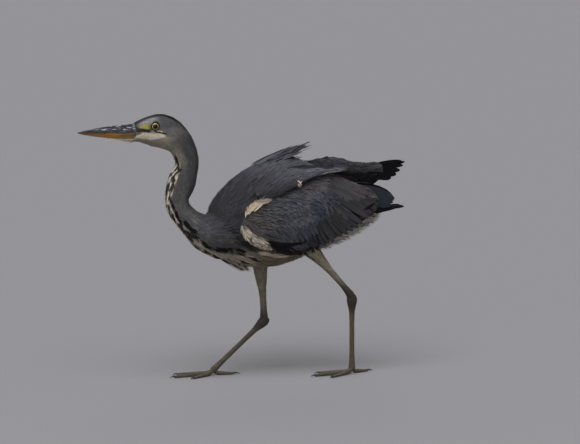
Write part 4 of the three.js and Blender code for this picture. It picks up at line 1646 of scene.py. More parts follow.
    def primaries(self, blade: Blade) -> Lines:
        """Lays the long black primaries that show beyond the wing.

        Args:
            blade: the wing.

        Returns:
            Their lines.
        """
        low, high = (DRAWING.millimetres(c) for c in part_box(f"wing_{NAMES[blade.side]}_primaries"))
        span = high - low
        if blade.side == LEFT:
            tips = [(1.0, 0.42), (0.97, 0.5), (0.9, 0.62), (0.8, 0.3)]
            start = (-0.35, -0.5)
            halves = [3.6, 4.2, 4.6, 4.2]
        else:
            tips = [(1.0, 0.86), (0.95, 0.72), (0.9, 0.93), (0.86, 0.52), (0.76, 0.35), (0.62, 0.2)]
            start = (-0.3, 0.45)
            halves = [4.8, 5.6, 5.0, 7.0, 8.0, 8.4]
        count = len(tips)
        shares = QUILL.shares
        end_y = blade.side * 27.0
        starts = np.array([low + span * np.array([start[0], 0, start[1]]) for _ in tips])
        starts[:, 1] = blade.side * 40.0
        starts[:, 2] += np.linspace(8, -8, count)
        ends = np.array([[low[0] + span[0] * u, end_y, low[2] + span[2] * v] for u, v in tips])
        places = starts[:, None] + (ends - starts)[:, None] * shares[None, :, None]
        places[:, :, 1] += blade.side * (np.arange(count) * -0.9)[:, None]
        sag = np.sin(shares * math.pi)
        places[:, :, 2] += sag[None] * np.linspace(3, 6, count)[:, None]
        normals = np.zeros_like(places)
        normals[:, :, 1] = blade.side
        normals[:, :, 2] = 0.15
        colours = np.repeat(np.repeat(BLACKISH[None, None], count, 0), len(shares), 1)
        return Lines(
            places, unit(normals), np.array(halves), np.full(count, 0.8), np.full(count, 0.12),
            colours, unwrap(places[:, 0], ((0, 0, 330), (200, 0, 340))),
        )

    def build(self) -> list:
        """Makes every feather piece of both wings.

        Returns:
            Each piece with a slot name for it and the finish of its feathers.
        """
        pieces = []
        for side, blade in self.blades.items():
            plan = WingPlan(self.blades[LEFT], blade)
            flow = plan.guides(WING_FLOW)
            tract = self.coverts(blade, plan, flow)
            pieces.append((stamp(tract.name, self.groomer.lines(tract), tract.vane), tract.slot, COVERT))
            tertials = (TERTIALS,) if side == LEFT else ()
            rows = [self.row(blade, row, plan, flow) for row in (*WING_ROWS, *tertials)]
            name = f"quills_{NAMES[side]}"
            quills = stamp(name, Lines.merge(rows), QUILL)
            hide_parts(f"wing_{NAMES[side]}_quills")
            pieces.append((quills, "plumage_dark", VANE_GREY))
            edges = [self.row(blade, row, plan, flow) for row in EDGE_ROWS]
            black = stamp(f"primaries_{NAMES[side]}", Lines.merge([*edges, self.primaries(blade)]), QUILL)
            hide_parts(f"wing_{NAMES[side]}_primaries")
            pieces.append((black, "plumage_black", VANE_BLACK))
        return pieces


# ---------------------------------------------------------------- thighs, tail and plumes


LANCE = Vane(
    4, (0, 0.1, 0.22, 0.36, 0.5, 0.64, 0.78, 0.9, 1), (0.3, 0.7, 0.92, 1.0, 0.94, 0.8, 0.58, 0.32, 0.03)
)

THIGH_AXES = {
    LEFT: Limb((-8, -40, 292), (62, -43, 217)),
    RIGHT: Limb((-50, 34, 262), (-44, 41, 176)),
}


@dataclass
class Thigh:
    """One thigh's feathers, which taper off over the top of the shank.

    Attributes:
        side: the side of the body.
        body: the whole coat's outer surface.
        past: how far roots reach beyond the thigh's end, in mm.
        near: how close to the body's face a root must lie, in mm.
    """

    side: int
    body: Surface
    past: float = 5.0
    near: float = 3.5

    def surface(self) -> Surface:
        """Returns the thigh and shank as one smooth form."""
        name = NAMES[self.side]
        mesh = fused([f"thigh_{name}", f"shank_{name}"], "limb", 1.6, 0.6, 18)
        limb = Surface.of_mesh(mesh)
        bpy.data.meshes.remove(mesh)
        return limb

    def shown(self, points: Array) -> Array:
        """Returns which points lie on the outside of the bird, above the bare shank."""
        end = THIGH_AXES[self.side].foot[2]
        gap = np.linalg.norm(self.body.settle(points)[0] - points, axis=1)
        outside = (gap < self.near) | (points[:, 2] < end + 5)
        return outside & (points[:, 2] > end - self.past)

    def build(self, random: np.random.Generator) -> tuple:
        """Makes the feathers.

        Args:
            random: the chance numbers.

        Returns:
            The piece and its slot in the record.
        """
        axis = THIGH_AXES[self.side]
        tract = Tract(
            f"coat_thigh_{NAMES[self.side]}", Region.THIGH, "plumage_thigh", axis, self.shown,
            spacing=2.2, length=constant(11.0), half=0.12, depth=1.5,
            spine=(axis.root, axis.foot), thick=0.24, ragged=8, shade=0.12,
        )
        limb = self.surface()
        groomer = Groomer(limb, np.full(len(limb.points), Flesh.REGIONS.index(Region.THIGH)))
        groomer.random = random
        return stamp(tract.name, groomer.lines(tract), tract.vane), tract.slot


def down_legs(points: Array) -> Array:
    """Returns the flow of the scutes: down the shanks, then out along the toes."""
    hubs = []
    for side in NAMES.values():
        low, high = (DRAWING.millimetres(corner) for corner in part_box(f"toe_{side}_middle"))
        hubs.append([high[0], (low[1] + high[1]) / 2, 12.0])
    gaps = points[:, None] - np.array(hubs)[None]
    out = gaps[np.arange(len(points)), np.linalg.norm(gaps, axis=2).argmin(axis=1)]
    out[:, 2] = -0.2
    down = np.array([[0.0, 0.0, -1.0]])
    share = smooth(9, 20, points[:, 2])[:, None]
    return unit(down * share + unit(out) * (1 - share))


def keep_off_floor(thing: bpy.types.Object) -> None:
    """Lifts whatever part of a piece lies below the floor up to it."""
    places = coordinates(thing.data)
    places[:, 2] = np.maximum(places[:, 2], 0.0)
    put(thing.data, places)
    thing.data.update()


SCUTES = Tract(
    "leg_scutes", Region.LEG, "leg_skin", down_legs,
    lambda points: (points[:, 2] < by_side(points, *SCUTE_TOPS)) & (points[:, 2] > 3.0),
    spacing=2.5, length=constant(3.7), half=0.4, depth=0.3,
    spine=((0, 0, 200), (0, 0, 0)), vane=SCUTE, thick=0.3, ragged=5, shade=0.1,
)


@dataclass(frozen=True)
class Tail:
    """The short rounded tail: broad slate feathers that arch over each other.

    Attributes:
        start: where its feathers leave the rump, in X.
        reach: how far the middle pair goes.
        rounding: how much shorter the outermost pair is.
        pairs: how many feathers there are on each side.
        half: each feather's half width in mm.
    """

    start: float = 88.0
    reach: float = 229.0
    rounding: float = 24.0
    pairs: int = 6
    half: float = 10.0

    STATIONS = [
        (88, 379, 20, 22), (140, 377, 27, 28), (182, 371, 34, 33), (212, 358, 27, 33), (232, 341, 12, 26),
    ]

    def build(self, random: np.random.Generator) -> bpy.types.Object:
        """Makes the tail."""
        stations = curve_through(self.STATIONS, 60)
        count = self.pairs * 2
        across = np.linspace(-0.92, 0.92, count)
        shares = QUILL.shares
        ends = self.reach - self.rounding * across**2
        x = self.start + (ends - self.start)[:, None] * shares[None]
        ridge, droop, wide = (np.interp(x, stations[:, 0], stations[:, k]) for k in (1, 2, 3))
        share = np.abs(across)[:, None]
        y = across[:, None] * wide
        z = ridge - droop * share**1.5 + (1 - share) * 2.2 - 1.0
        slope = 1.5 * droop * np.sqrt(share) / wide * np.sign(across)[:, None]
        normals = unit(np.stack([np.zeros_like(x), slope, np.ones_like(x)], axis=2))
        tone = random.normal(1, 0.06, (count, 1, 1))
        # Painted shade: each tail feather darkens towards its root, where the others cover it.
        colours = PALETTE.slate[None, None] * 0.5 * tone * (0.8 + 0.25 * shares)[None, :, None]
        points = np.stack([x, y, z], axis=2)
        lines = Lines(
            points, normals, np.full(count, self.half), np.full(count, 0.9), np.full(count, 0.14),
            colours, unwrap(points[:, 0] + np.array([1.0, 0, 0]) * np.arange(count)[:, None], TRUNK_SPINE),
        )
        tail = stamp("tail_feathers", lines, QUILL)
        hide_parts("tail")
        return tail


@dataclass(frozen=True)
class Tuft:
    """A loose bunch of long or fluffy feathers.

    Attributes:
        name: the bunch's name.
        root: the middle of its roots.
        spread: how far the roots scatter along X, Y and Z, in mm.
        tip: where the tips gather.
        stray: how far the tips scatter along X, Y and Z, in mm.
        count: how many feathers it has.
        half: their half width in mm.
        sag: how far they bow upwards on the way, in mm.
        colours: the colours that they share out.
        only: the one side that has it, or 0 for both.
    """

    name: str
    root: tuple
    spread: tuple
    tip: tuple
    stray: tuple
    count: int
    half: float
    sag: float
    colours: tuple
    only: int = 0

    def lines(self, random: np.random.Generator, mirror: int, surface: Surface | None) -> Lines:
        """Lays the bunch.

        Args:
            random: the chance numbers.
            mirror: -1 to lay it on the bird's other side.
            surface: what its feathers lie on, or None if they hang free.

        Returns:
            Its lines.
        """
        flip = np.array([1.0, mirror, 1.0])
        root = (np.array(self.root) + random.uniform(-1, 1, (self.count, 3)) * self.spread) * flip
        tip = (np.array(self.tip) + random.normal(0, 0.5, (self.count, 3)) * self.stray) * flip
        shares = LANCE.shares
        points = root[:, None] + (tip - root)[:, None] * shares[None, :, None]
        bow = np.sin(shares * math.pi) * random.uniform(0.5, 1.3, (self.count, 1)) * self.sag
        points[:, :, 2] += bow
        side = random.normal(0, 0.5, (self.count, 3)) + np.array([0.0, -1.0, 0.6]) * flip
        normals = np.repeat(unit(side)[:, None], len(shares), axis=1)
        if surface:
            landed, outward = surface.settle(points.reshape(-1, 3))
            lift = (1.6 + 4.4 * shares**1.3)[None, :, None]
            points = landed.reshape(points.shape) + outward.reshape(points.shape) * lift
            normals = unit(outward.reshape(points.shape) + 0.5 * normals)
        pick = random.integers(0, len(self.colours), self.count)
        tone = random.normal(1, 0.1, (self.count, 1))
        colour = np.array(self.colours)[pick] * tone
        return Lines(
            points, normals, self.half * random.uniform(0.7, 1.2, self.count),
            np.full(self.count, 0.35), np.full(self.count, 0.2),
            np.repeat(colour[:, None], len(shares), axis=1), unwrap(root, TRUNK_SPINE),
        )


BACK_TUFT = (
    Tuft("crest", (-56, 0, 427), (28, 13, 3), (28, 0, 460.5), (18, 3, 3.5), 80, 0.95, 4.0,
         (PALETTE.mantle * 1.1, PALETTE.mantle * 1.35, PALETTE.mantle_shaded)),
    Tuft("crest_low", (-36, 0, 429), (28, 20, 3), (10, 0, 449), (14, 14, 4.5), 80, 1.1, 3.0,
         (PALETTE.mantle * 1.1, PALETTE.mantle * 1.3, PALETTE.mantle_shaded)),
    Tuft("crest_point", (-30, 0, 436), (10, 4, 3), (44, 0, 468.5), (1, 1, 1), 6, 0.9, 2.0,
         (PALETTE.mantle_shaded, PALETTE.mantle)),
    Tuft("crest_fill", (-44, 6, 425), (40, 12, 3), (-2, 8, 438), (20, 12, 4), 90, 1.2, 2.4,
         (PALETTE.mantle * 1.1, PALETTE.mantle, PALETTE.mantle_shaded)),
    Tuft("crest_wisps", (-24, 0, 438), (10, 8, 4), (20, 2, 454), (13, 10, 8), 18, 0.7, 1.5,
         (PALETTE.mantle_shaded, PALETTE.mantle)),
)
BREAST_TUFT = (
    Tuft("breast", (-141, 6, 248), (20, 8, 3), (-100, 6, 217), (9, 8, 4), 60, 1.1, 0.0,
         (PALETTE.cream * 0.7, PALETTE.tan * 0.8, PALETTE.black, PALETTE.black)),
)
SHOULDER_TUFT = (
    Tuft("shoulder_low", (-124, 66, 337), (6, 3, 7), (-110, 66, 353), (14, 5, 13), 100, 1.3, 1.0,
         (PALETTE.cream, PALETTE.cream * 0.9, PALETTE.blush)),
    Tuft("shoulder", (-114, 66, 348), (8, 3, 9), (-96, 66, 362), (12, 4, 9), 110, 1.7, 1.0,
         (PALETTE.cream * 0.85, PALETTE.blush, PALETTE.tan * 0.8)),
    Tuft("shoulder_tip", (-102, 66, 358), (7, 3, 6), (-82, 66, 368), (9, 4, 6), 34, 1.2, 1.0,
         (PALETTE.cream * 0.9, PALETTE.tan * 0.8)),
    Tuft("spot", (-18, 64, 396), (4, 1, 4), (-11, 64, 391), (5, 2, 6), 20, 1.2, 0.5,
         (PALETTE.cream * 1.1, PALETTE.cream, PALETTE.mantle_shaded), LEFT),
    Tuft("filaments", (60, 66, 404), (26, 3, 3), (78, 66, 411), (24, 4, 4), 34, 0.5, 0.0,
         (PALETTE.cream * 0.6, PALETTE.mantle * 1.6), LEFT),
    Tuft("hem_strands", (-20, 72, 277), (26, 2, 3), (-4, 72, 265), (26, 3, 6), 80, 1.0, 0.0,
         (PALETTE.wing_brown * 0.8, PALETTE.wing_blue * 0.8, PALETTE.mantle_shaded)),
)
CHIN_TUFT = (
    Tuft("chin_strip", (-394, 0, 499.6), (11, 1.6, 0.8), (-348, 0, 490.6), (10, 4, 2.2), 80, 0.9, -0.3,
         (PALETTE.cream * 1.1, PALETTE.cream), LEFT),
    Tuft("chin_ragged", (-314, 0, 487), (7, 4, 1.0), (-299, 0, 477.5), (10, 6, 2.2), 44, 0.7, 0.0,
         (PALETTE.cream * 0.8, PALETTE.tan * 0.9, PALETTE.cheek), LEFT),
)


def tufts(
    name: str, bunches: tuple, random: np.random.Generator, *replaced: str, surface: Surface | None = None
) -> bpy.types.Object:
    """Makes one piece of several bunches, on both sides of the bird.

    Args:
        name: the piece's name.
        bunches: the bunches.
        random: the chance numbers.
        replaced: the CAD nodes that it stands for.
        surface: what the feathers lie on, or None if they hang free.

    Returns:
        The object.
    """
    lines = [
        bunch.lines(random, side, surface)
        for side in (LEFT, RIGHT) for bunch in bunches if bunch.only in (0, side)
    ]
    piece = stamp(name, Lines.merge(lines), LANCE)
    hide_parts(*replaced)
    return piece


# ---------------------------------------------------------------- bill, eyes, claws and scutes


def loft(name: str, sides: int, stations: Array, place: Callable) -> bpy.types.Object:
    """Makes a closed body by drawing a ring along its stations.

    Args:
        name: the piece's name.
        sides: how many corners the ring has.
        stations: what place is given for each ring, one row each.
        place: gives the drawn point for a station and an angle.

    Returns:
        The object.
    """
    shape = bmesh.new()
    bmesh.ops.create_circle(shape, segments=sides, radius=1)
    ring = list(shape.verts)
    angles = [math.atan2(vertex.co.y, vertex.co.x) for vertex in ring]
    first = ring
    for index, station in enumerate(stations):
        if index:
            edges = [edge for edge in shape.edges if edge.verts[0] in ring and edge.verts[1] in ring]
            grown = bmesh.ops.extrude_edge_only(shape, edges=edges)["geom"]
            fresh = [item for item in grown if isinstance(item, bmesh.types.BMVert)]
            ring = [
                edge.other_vert(vertex)
                for vertex in ring
                for edge in vertex.link_edges
                if edge.other_vert(vertex) in fresh
            ]
        for vertex, angle in zip(ring, angles):
            vertex.co = Vector(DRAWING.metres(place(station, angle)))
    bmesh.ops.contextual_create(shape, geom=first)
    bmesh.ops.contextual_create(shape, geom=ring)
    bmesh.ops.recalc_face_normals(shape, faces=shape.faces)
    mesh = bpy.data.meshes.new(name)
    shape.to_mesh(mesh)
    shape.free()
    shade_smooth(mesh)
    mesh.set_sharp_from_angle(angle=math.radians(55))
    return link(mesh, name)


@dataclass(frozen=True)
class Bill:
    """The dagger bill: a dark upper half over an orange lower one.

    Attributes:
        rings: how many rings each half has.
        sides: how many corners a ring has.
        gap: the dark line left between the halves, in mm.
        groove: how deep the long groove of the nostril is, in mm.
    """

    rings: int = 96
    sides: int = 28
    gap: float = 0.35
    groove: float = 0.9

    STATIONS = [
        (-468, 515.2, 514.2, 513.4, 0.8), (-455, 517.6, 513.8, 510, 2.2),
        (-436, 520.4, 513.2, 506, 3.8), (-412, 523, 512.4, 502, 6),
        (-388, 524.6, 511.4, 499, 8.2), (-364, 525.6, 510.2, 496.4, 10),
        (-344, 526.6, 509.2, 494.6, 11), (-334, 526.8, 508.7, 494.3, 11.1),
    ]

    def upper(self, station: Array, angle: float) -> Array:
        """Returns a point of the upper half's wall."""
        x, culmen, mouth, _, wide = station
        rise = max(0.0, math.sin(angle))
        y = wide * math.cos(angle) * (1 - 0.36 * rise)
        z = mouth + self.gap / 2 + (culmen - mouth - self.gap / 2) * rise**0.85
        run = float(band(-432, -346, 10, x))
        dent = run * self.groove * math.exp(-(((rise - 0.52) / 0.17) ** 2))
        nostril = float(band(-366, -349, 2.5, x)) * 1.5 * math.exp(-(((rise - 0.5) / 0.09) ** 2))
        y -= math.copysign(min(abs(y) * 0.6, dent + nostril), y)
        return np.array([x, y, z])

    def lower(self, station: Array, angle: float) -> Array:
        """Returns a point of the lower half's wall."""
        x, _, mouth, keel, wide = station
        fall = max(0.0, -math.sin(angle))
        tuck = 0.2 * float(smooth(-352, -338, x)) * min(1.0, fall * 2)
        y = wide * 0.96 * math.cos(angle) * (1 - 0.3 * fall) * (1 - tuck)
        z = mouth - self.gap / 2 - (mouth - keel - self.gap / 2) * fall**0.9 * (1 - tuck)
        return np.array([x, y, z])

    @staticmethod
    def upper_colour(points: Array) -> Array:
        """Returns the upper half's colours: slate blue, blackish at tip and ridge, a painted highlight
        along each side, olive base.
        """
        x, z = points[:, 0], points[:, 2]
        colour = np.repeat(linear(36, 38, 46)[None], len(points), axis=0)
        colour = blend(colour, linear(36, 37, 42), (1 - smooth(-452, -424, x)) * 0.8)
        colour = blend(colour, linear(46, 45, 48), 1 - smooth(511, 515.5, z))
        run = band(-448, -344, 12, x)
        colour = blend(colour, linear(14, 14, 18), run * band(521.4, 523.2, 0.5, z) * 0.9)
        # Painted highlight: a pale blue line along each side of the upper half.
        colour = blend(colour, linear(124, 132, 148), run * band(518.6, 520.2, 0.5, z) * 0.55)
        return blend(colour, linear(104, 104, 84), smooth(-352, -340, x) * 0.6)

    @staticmethod
    def lower_colour(points: Array) -> Array:
        """Returns the lower half's colours: orange, darker at the tip, yellow-green at the base."""
        x, z = points[:, 0], points[:, 2]
        colour = np.repeat(linear(162, 110, 28)[None], len(points), axis=0)
        colour = blend(colour, linear(96, 66, 34), 1 - smooth(-462, -440, x))
        colour = blend(colour, linear(84, 56, 26), smooth(508.5, 511.5, z) * 0.75)
        colour = blend(colour, linear(112, 94, 56), smooth(-404, -362, x) * 0.85)
        return blend(colour, linear(206, 160, 84), (1 - smooth(498, 503, z)) * 0.35)

    def build(self) -> list:
        """Makes both halves."""
        stations = curve_through(self.STATIONS, self.rings)
        pieces = []
        for name, place, tint in (
            ("bill_upper", self.upper, self.upper_colour),
            ("bill_lower", self.lower, self.lower_colour),
        ):
            half = loft(name + "_horn", self.sides, stations, place)
            points = DRAWING.millimetres(coordinates(half.data))
            x, z = points[:, 0], points[:, 2]
            # The upper half's mask of painted highlight flecks and dark stains: bare keeps them off the
            # ridge and the lower side.
            bare = 1 - 0.75 * band(521, 523.4, 0.4, z) - 0.5 * (1 - smooth(516.5, 518.5, z))
            highlight_and_stain = band(-424, -342, 14, x) * smooth(512.5, 517, z) * bare if place == self.upper else 0 * x
            paint(half.data, tint(points), 1 - highlight_and_stain)
            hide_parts(name)
            pieces.append((half, name))
        return pieces


@dataclass(frozen=True)
class EyeDress:
    """Each eye's ball, with its iris and pupil, and the lids round it.

    Attributes:
        pupil: half the angle of the pupil, in degrees.
        iris: half the angle of the iris.
        bulge: how far the cornea stands out, in mm.
        rings: rings of the ball from pole to pole.
    """

    pupil: float = 33.0
    iris: float = 42.5
    bulge: float = 0.45
    rings: int = 90

    def turned(self, eye: Eye) -> Matrix:
        """Returns the turn that takes +Z to the eye's axis."""
        return Vector(eye.axis()).to_track_quat("Z", "Y").to_matrix().to_4x4()

    def ball(self, eye: Eye) -> bpy.types.Object:
        """Makes an eyeball whose rings run round its axis."""
        shape = bmesh.new()
        bmesh.ops.create_uvsphere(shape, u_segments=48, v_segments=self.rings, radius=eye.radius * MM)
        angles = [math.degrees(math.acos(max(-1, min(1, v.co.normalized().z)))) for v in shape.verts]
        for vertex, angle in zip(shape.verts, angles):
            vertex.co += vertex.co.normalized() * self.bulge * MM * float(1 - smooth(8, 36, angle))
        bmesh.ops.transform(shape, matrix=self.turned(eye), verts=shape.verts)
        bmesh.ops.translate(shape, verts=shape.verts, vec=Vector(DRAWING.metres(eye.centre())))
        name = f"eyeball_{NAMES[eye.side]}"
        mesh = bpy.data.meshes.new(name)
        shape.to_mesh(mesh)
        shape.free()
        shade_smooth(mesh)
        angle = np.array(angles)
        colour = np.repeat(linear(204, 182, 66)[None], len(angle), axis=0)
        colour = blend(colour, linear(172, 134, 42), 1 - smooth(self.pupil, self.pupil + 4, angle))
        colour = blend(colour, linear(120, 96, 30), smooth(self.iris - 4, self.iris, angle) * 0.6)
        colour = blend(colour, linear(6, 6, 7), 1 - smooth(self.pupil - 0.8, self.pupil + 0.8, angle))
        colour = blend(colour, linear(16, 15, 15), smooth(self.iris - 0.6, self.iris + 1.0, angle))
        paint(mesh, colour)
        ball = link(mesh, name)
        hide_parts(f"eye_{NAMES[eye.side]}")
        return ball

    def lids(self, eye: Eye) -> bpy.types.Object:
        """Makes the lids: a soft dark rim spun round the eye's axis."""
        profile = ((49.5, 9.3), (50.0, 10.1), (52.5, 10.6), (56, 10.7), (62, 10.4), (70, 9.7), (77, 8.8))
        shape = bmesh.new()
        chain = [
            shape.verts.new(
                (r * MM * math.sin(math.radians(a)), 0, r * MM * math.cos(math.radians(a)))
            )
            for a, r in profile
        ]
        edges = [shape.edges.new(pair) for pair in zip(chain[:-1], chain[1:])]
        bmesh.ops.spin(
            shape, geom=chain + edges, cent=(0, 0, 0), axis=(0, 0, 1), angle=2 * math.pi, steps=56,
            use_merge=True,
        )
        bmesh.ops.remove_doubles(shape, verts=shape.verts, dist=1e-6)
        bmesh.ops.recalc_face_normals(shape, faces=shape.faces)
        bmesh.ops.solidify(shape, geom=shape.faces[:], thickness=0.3 * MM)
        bmesh.ops.recalc_face_normals(shape, faces=shape.faces)
        angles = np.array([math.degrees(v.co.angle(Vector((0, 0, 1)))) for v in shape.verts])
        bmesh.ops.transform(shape, matrix=self.turned(eye), verts=shape.verts)
        bmesh.ops.translate(shape, verts=shape.verts, vec=Vector(DRAWING.metres(eye.centre())))
        mesh = bpy.data.meshes.new(f"lids_{NAMES[eye.side]}")
        shape.to_mesh(mesh)
        shape.free()
        shade_smooth(mesh)
        colour = np.repeat(linear(15, 14, 15)[None], len(angles), axis=0)
        paint(mesh, blend(colour, PALETTE.cheek * 0.8, smooth(60, 69, angles)))
        return link(mesh, mesh.name)


class Claws:
    """The eight claws, smoothed."""

    TOES = ("middle", "inner", "outer", "hind")

    def build(self) -> bpy.types.Object:
        """Makes the claws as one piece."""
        names = [f"claw_{side}_{toe}" for side in NAMES.values() for toe in self.TOES]
        thing = gathered(names, "claws")
        round_off = thing.modifiers.new("Subdivision", "SUBSURF")
        round_off.levels = round_off.render_levels = 2
        mesh = applied(thing, "claws")
        shade_smooth(mesh)
        claws = link(mesh, "claws")
        paint(mesh, np.repeat(linear(34, 30, 27)[None], len(mesh.vertices), axis=0))
        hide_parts(*names)
        return claws


NECK_SPINE = ((-235, 0, 520), (-225, 0, 280))
TRUNK_SPINE = ((-185, 0, 325), (190, 0, 330))


def mantle_length(points: Array) -> Array:
    """Returns the trunk's feather lengths: longest over the shoulders and back."""
    return 19.0 + 13.0 * smooth(-165, -90, points[:, 0]) * smooth(330, 380, points[:, 2])


def on_flank(points: Array) -> Array:
    """Returns which points lie on the loose pale flank, behind the thighs and below the wings."""
    return (points[:, 0] > 55) & (points[:, 2] < 290 + (points[:, 0] - 60) * 0.42) & (points[:, 0] < 190)


SMALL_TRACTS = (
    Tract(
        "coat_head", Region.HEAD, "plumage_grey", round_eyes, off_eyes,
        spacing=1.75, length=head_length, half=0.17, depth=0.9,
        spine=((-350, 0, 508), (-240, 0, 505)), thick=0.2, ragged=6, shade=0.1,
    ),
    Tract(
        "coat_neck_upper", Region.NECK, "plumage_grey", along_neck,
        lambda points: NECK.locate(points)[0] < 262,
        spacing=2.15, length=constant(11.5), half=0.105, depth=2.0,
        spine=NECK_SPINE, thick=0.26, ragged=5, shade=0.13,
    ),
    Tract(
        "coat_neck_lower", Region.NECK, "plumage_grey", along_neck,
        lambda points: NECK.locate(points)[0] >= 262,
        spacing=2.6, length=constant(15.0), half=0.1, depth=2.2,
        spine=NECK_SPINE, thick=0.28, ragged=5, shade=0.13,
    ),
    Tract(
        "coat_mantle", Region.TRUNK, "plumage_grey", MANTLE,
        lambda points: points[:, 2] > 318,
        spacing=2.9, length=mantle_length, half=0.05, depth=4.0,
        spine=TRUNK_SPINE, thick=0.28, ragged=6, shade=0.1, lift=0.6,
    ),
    Tract(
        "coat_breast", Region.TRUNK, "plumage_grey", MANTLE,
        lambda points: points[:, 2] <= 318,
        spacing=3.0, length=constant(21.0), half=0.062, depth=4.0,
        spine=TRUNK_SPINE, thick=0.3, ragged=7, shade=0.1, lift=0.4,
    ),
    Tract(
        "coat_flank", Region.TRUNK, "plumage_grey", MANTLE, on_flank,
        spacing=4.4, length=constant(23.0), half=0.055, depth=1.5,
        spine=TRUNK_SPINE, thick=0.26, ragged=20, shade=0.22, lift=8.0,
    ),
    Tract(
        "coat_shoulders", Region.SHOULDER, "plumage_grey", SHOULDERS, everywhere,
        spacing=3.0, length=constant(29.0), half=0.05, depth=3.8,
        spine=TRUNK_SPINE, thick=0.3, ragged=6, shade=0.1, lift=0.5,
    ),
)

# ---------------------------------------------------------------- finishes


class Graph:
    """Adds shader nodes to a tree and wires them."""

    def __init__(self, tree: bpy.types.NodeTree) -> None:
        """Keeps the tree."""
        self.tree = tree

    def node(self, kind: str, **settings: object) -> bpy.types.Node:
        """Adds a node and sets its properties."""
        made = self.tree.nodes.new("ShaderNode" + kind)
        for name, value in settings.items():
            setattr(made, name, value)
        return made

    def feed(self, socket: bpy.types.NodeSocket, value: object) -> None:
        """Links a socket to another, or sets its value."""
        if isinstance(value, bpy.types.NodeSocket):
            self.tree.links.new(value, socket)
        else:
            socket.default_value = value

    def math(self, operation: str, *values: object) -> bpy.types.NodeSocket:
        """Adds a Math node over one to three values and returns its result."""
        made = self.node("Math", operation=operation)
        for socket, value in zip(made.inputs, values):
            self.feed(socket, value)
        return made.outputs[0]

    def ramp(
        self, value: object, low: float, high: float, start: object = 0.0, end: object = 1.0
    ) -> object:
        """Maps value from low..high smoothly onto start..end and returns the result."""
        made = self.node("MapRange", interpolation_type="SMOOTHSTEP")
        for socket, item in zip(made.inputs, (value, low, high, start, end)):
            self.feed(socket, item)
        return made.outputs[0]

    def tint(self, colour: object, factor: object) -> object:
        """Multiplies a colour by a number and returns the result."""
        made = self.node("VectorMath", operation="SCALE")
        self.feed(made.inputs[0], colour)
        self.feed(made.inputs["Scale"], factor)
        return made.outputs[0]

    def mix(self, first: object, second: object, factor: object) -> object:
        """Mixes two colours by a number and returns the result."""
        made = self.node("Mix", data_type="RGBA")
        for index, value in ((0, factor), (6, first), (7, second)):
            self.feed(made.inputs[index], value)
        return made.outputs[2]

    def noise(self, scale: object, detail: float = 2.0, stretch: tuple = (1, 1, 1)) -> object:
        """Adds noise over the object's own coordinates, in cycles for each metre."""
        place = self.node("TexCoord")
        mapping = self.node("Mapping")
        mapping.inputs["Scale"].default_value = stretch
        self.feed(mapping.inputs["Vector"], place.outputs["Object"])
        made = self.node("TexNoise")
        self.feed(made.inputs["Vector"], mapping.outputs[0])
        self.feed(made.inputs["Scale"], scale)
        made.inputs["Detail"].default_value = detail
        return made.outputs["Fac"]


def group(name: str, inputs: dict, outputs: tuple) -> tuple:
    """Starts a node group.

    Args:
        name: its name.
        inputs: the names of its number inputs, with their usual values.
        outputs: the names of its number outputs.

    Returns:
        The tree, a graph on it, its input sockets by name and its output node.
    """
    tree = bpy.data.node_groups.new(name, "ShaderNodeTree")
    for title, value in inputs.items():
        socket = tree.interface.new_socket(title, in_out="INPUT", socket_type="NodeSocketFloat")
        socket.default_value = value
    for title in outputs:
        tree.interface.new_socket(title, in_out="OUTPUT", socket_type="NodeSocketFloat")
    graph = Graph(tree)
    entry = tree.nodes.new("NodeGroupInput")
    leave = tree.nodes.new("NodeGroupOutput")
    return tree, graph, entry.outputs, leave.inputs


def barbs_group() -> bpy.types.NodeTree:
    """Makes the barbs of a vane: fine slanting ridges off a shaft, with frayed places."""
    inputs = {"Count": 40.0, "Slant": 14.0, "Fray": 0.5}
    tree, graph, given, out = group("barbs", inputs, ("Shade", "Height", "Shaft", "Edge"))
    place = graph.node("UVMap", uv_map="Vane")
    split = graph.node("SeparateXYZ")
    graph.feed(split.inputs[0], place.outputs[0])
    aside = graph.math("SUBTRACT", split.outputs[0], 0.5)
    off = graph.math("MULTIPLY", graph.math("ABSOLUTE", aside), 2.0)
    wander = graph.math("MULTIPLY", graph.noise(420.0, 2.0), given["Fray"])
    slant = graph.math("MULTIPLY", given["Slant"], -1.0)
    shift = graph.math("MULTIPLY", wander, 9.0)
    phase = graph.math("MULTIPLY_ADD", off, slant, shift)
    wave = graph.math("MULTIPLY_ADD", split.outputs[1], given["Count"], phase)
    ridge = graph.math("MULTIPLY_ADD", graph.math("SINE", wave), 0.5, 0.5)
    shaft = graph.ramp(off, 0.03, 0.09, 1.0, 0.0)
    graph.feed(out["Shade"], ridge)
    graph.feed(out["Height"], graph.math("MULTIPLY_ADD", shaft, 1.2, ridge))
    graph.feed(out["Shaft"], shaft)
    graph.feed(out["Edge"], graph.ramp(off, 0.72, 0.97))
    return tree


def mottle_group() -> bpy.types.NodeTree:
    """Makes soft patches and fine grain over the object's own space."""
    tree, graph, given, out = group("mottle", {"Patch": 60.0, "Grain": 900.0}, ("Patches", "Fine"))
    graph.feed(out["Patches"], graph.ramp(graph.noise(given["Patch"], 3.0), 0.3, 0.7))
    graph.feed(out["Fine"], graph.noise(given["Grain"], 2.0))
    return tree


@dataclass(frozen=True)
class FeatherFinish:
    """How one kind of feather looks.

    Attributes:
        name: the material's name.
        count: how many barb ridges a vane shows along its length.
        slant: how far they run towards the tip on their way out.
        relief: how deep the ridges are, in mm.
        contrast: how much darker the furrows are.
        pale_edge: how much lighter the edges are, or darker if it is below 0.
        shaft: how much darker the shaft is.
        roughness: the surface's roughness.
        sheen: the soft light on its grazing faces.
    """

    name: str
    count: float
    slant: float
    relief: float
    contrast: float
    pale_edge: float
    shaft: float
    roughness: float = 0.72
    sheen: float = 0.12


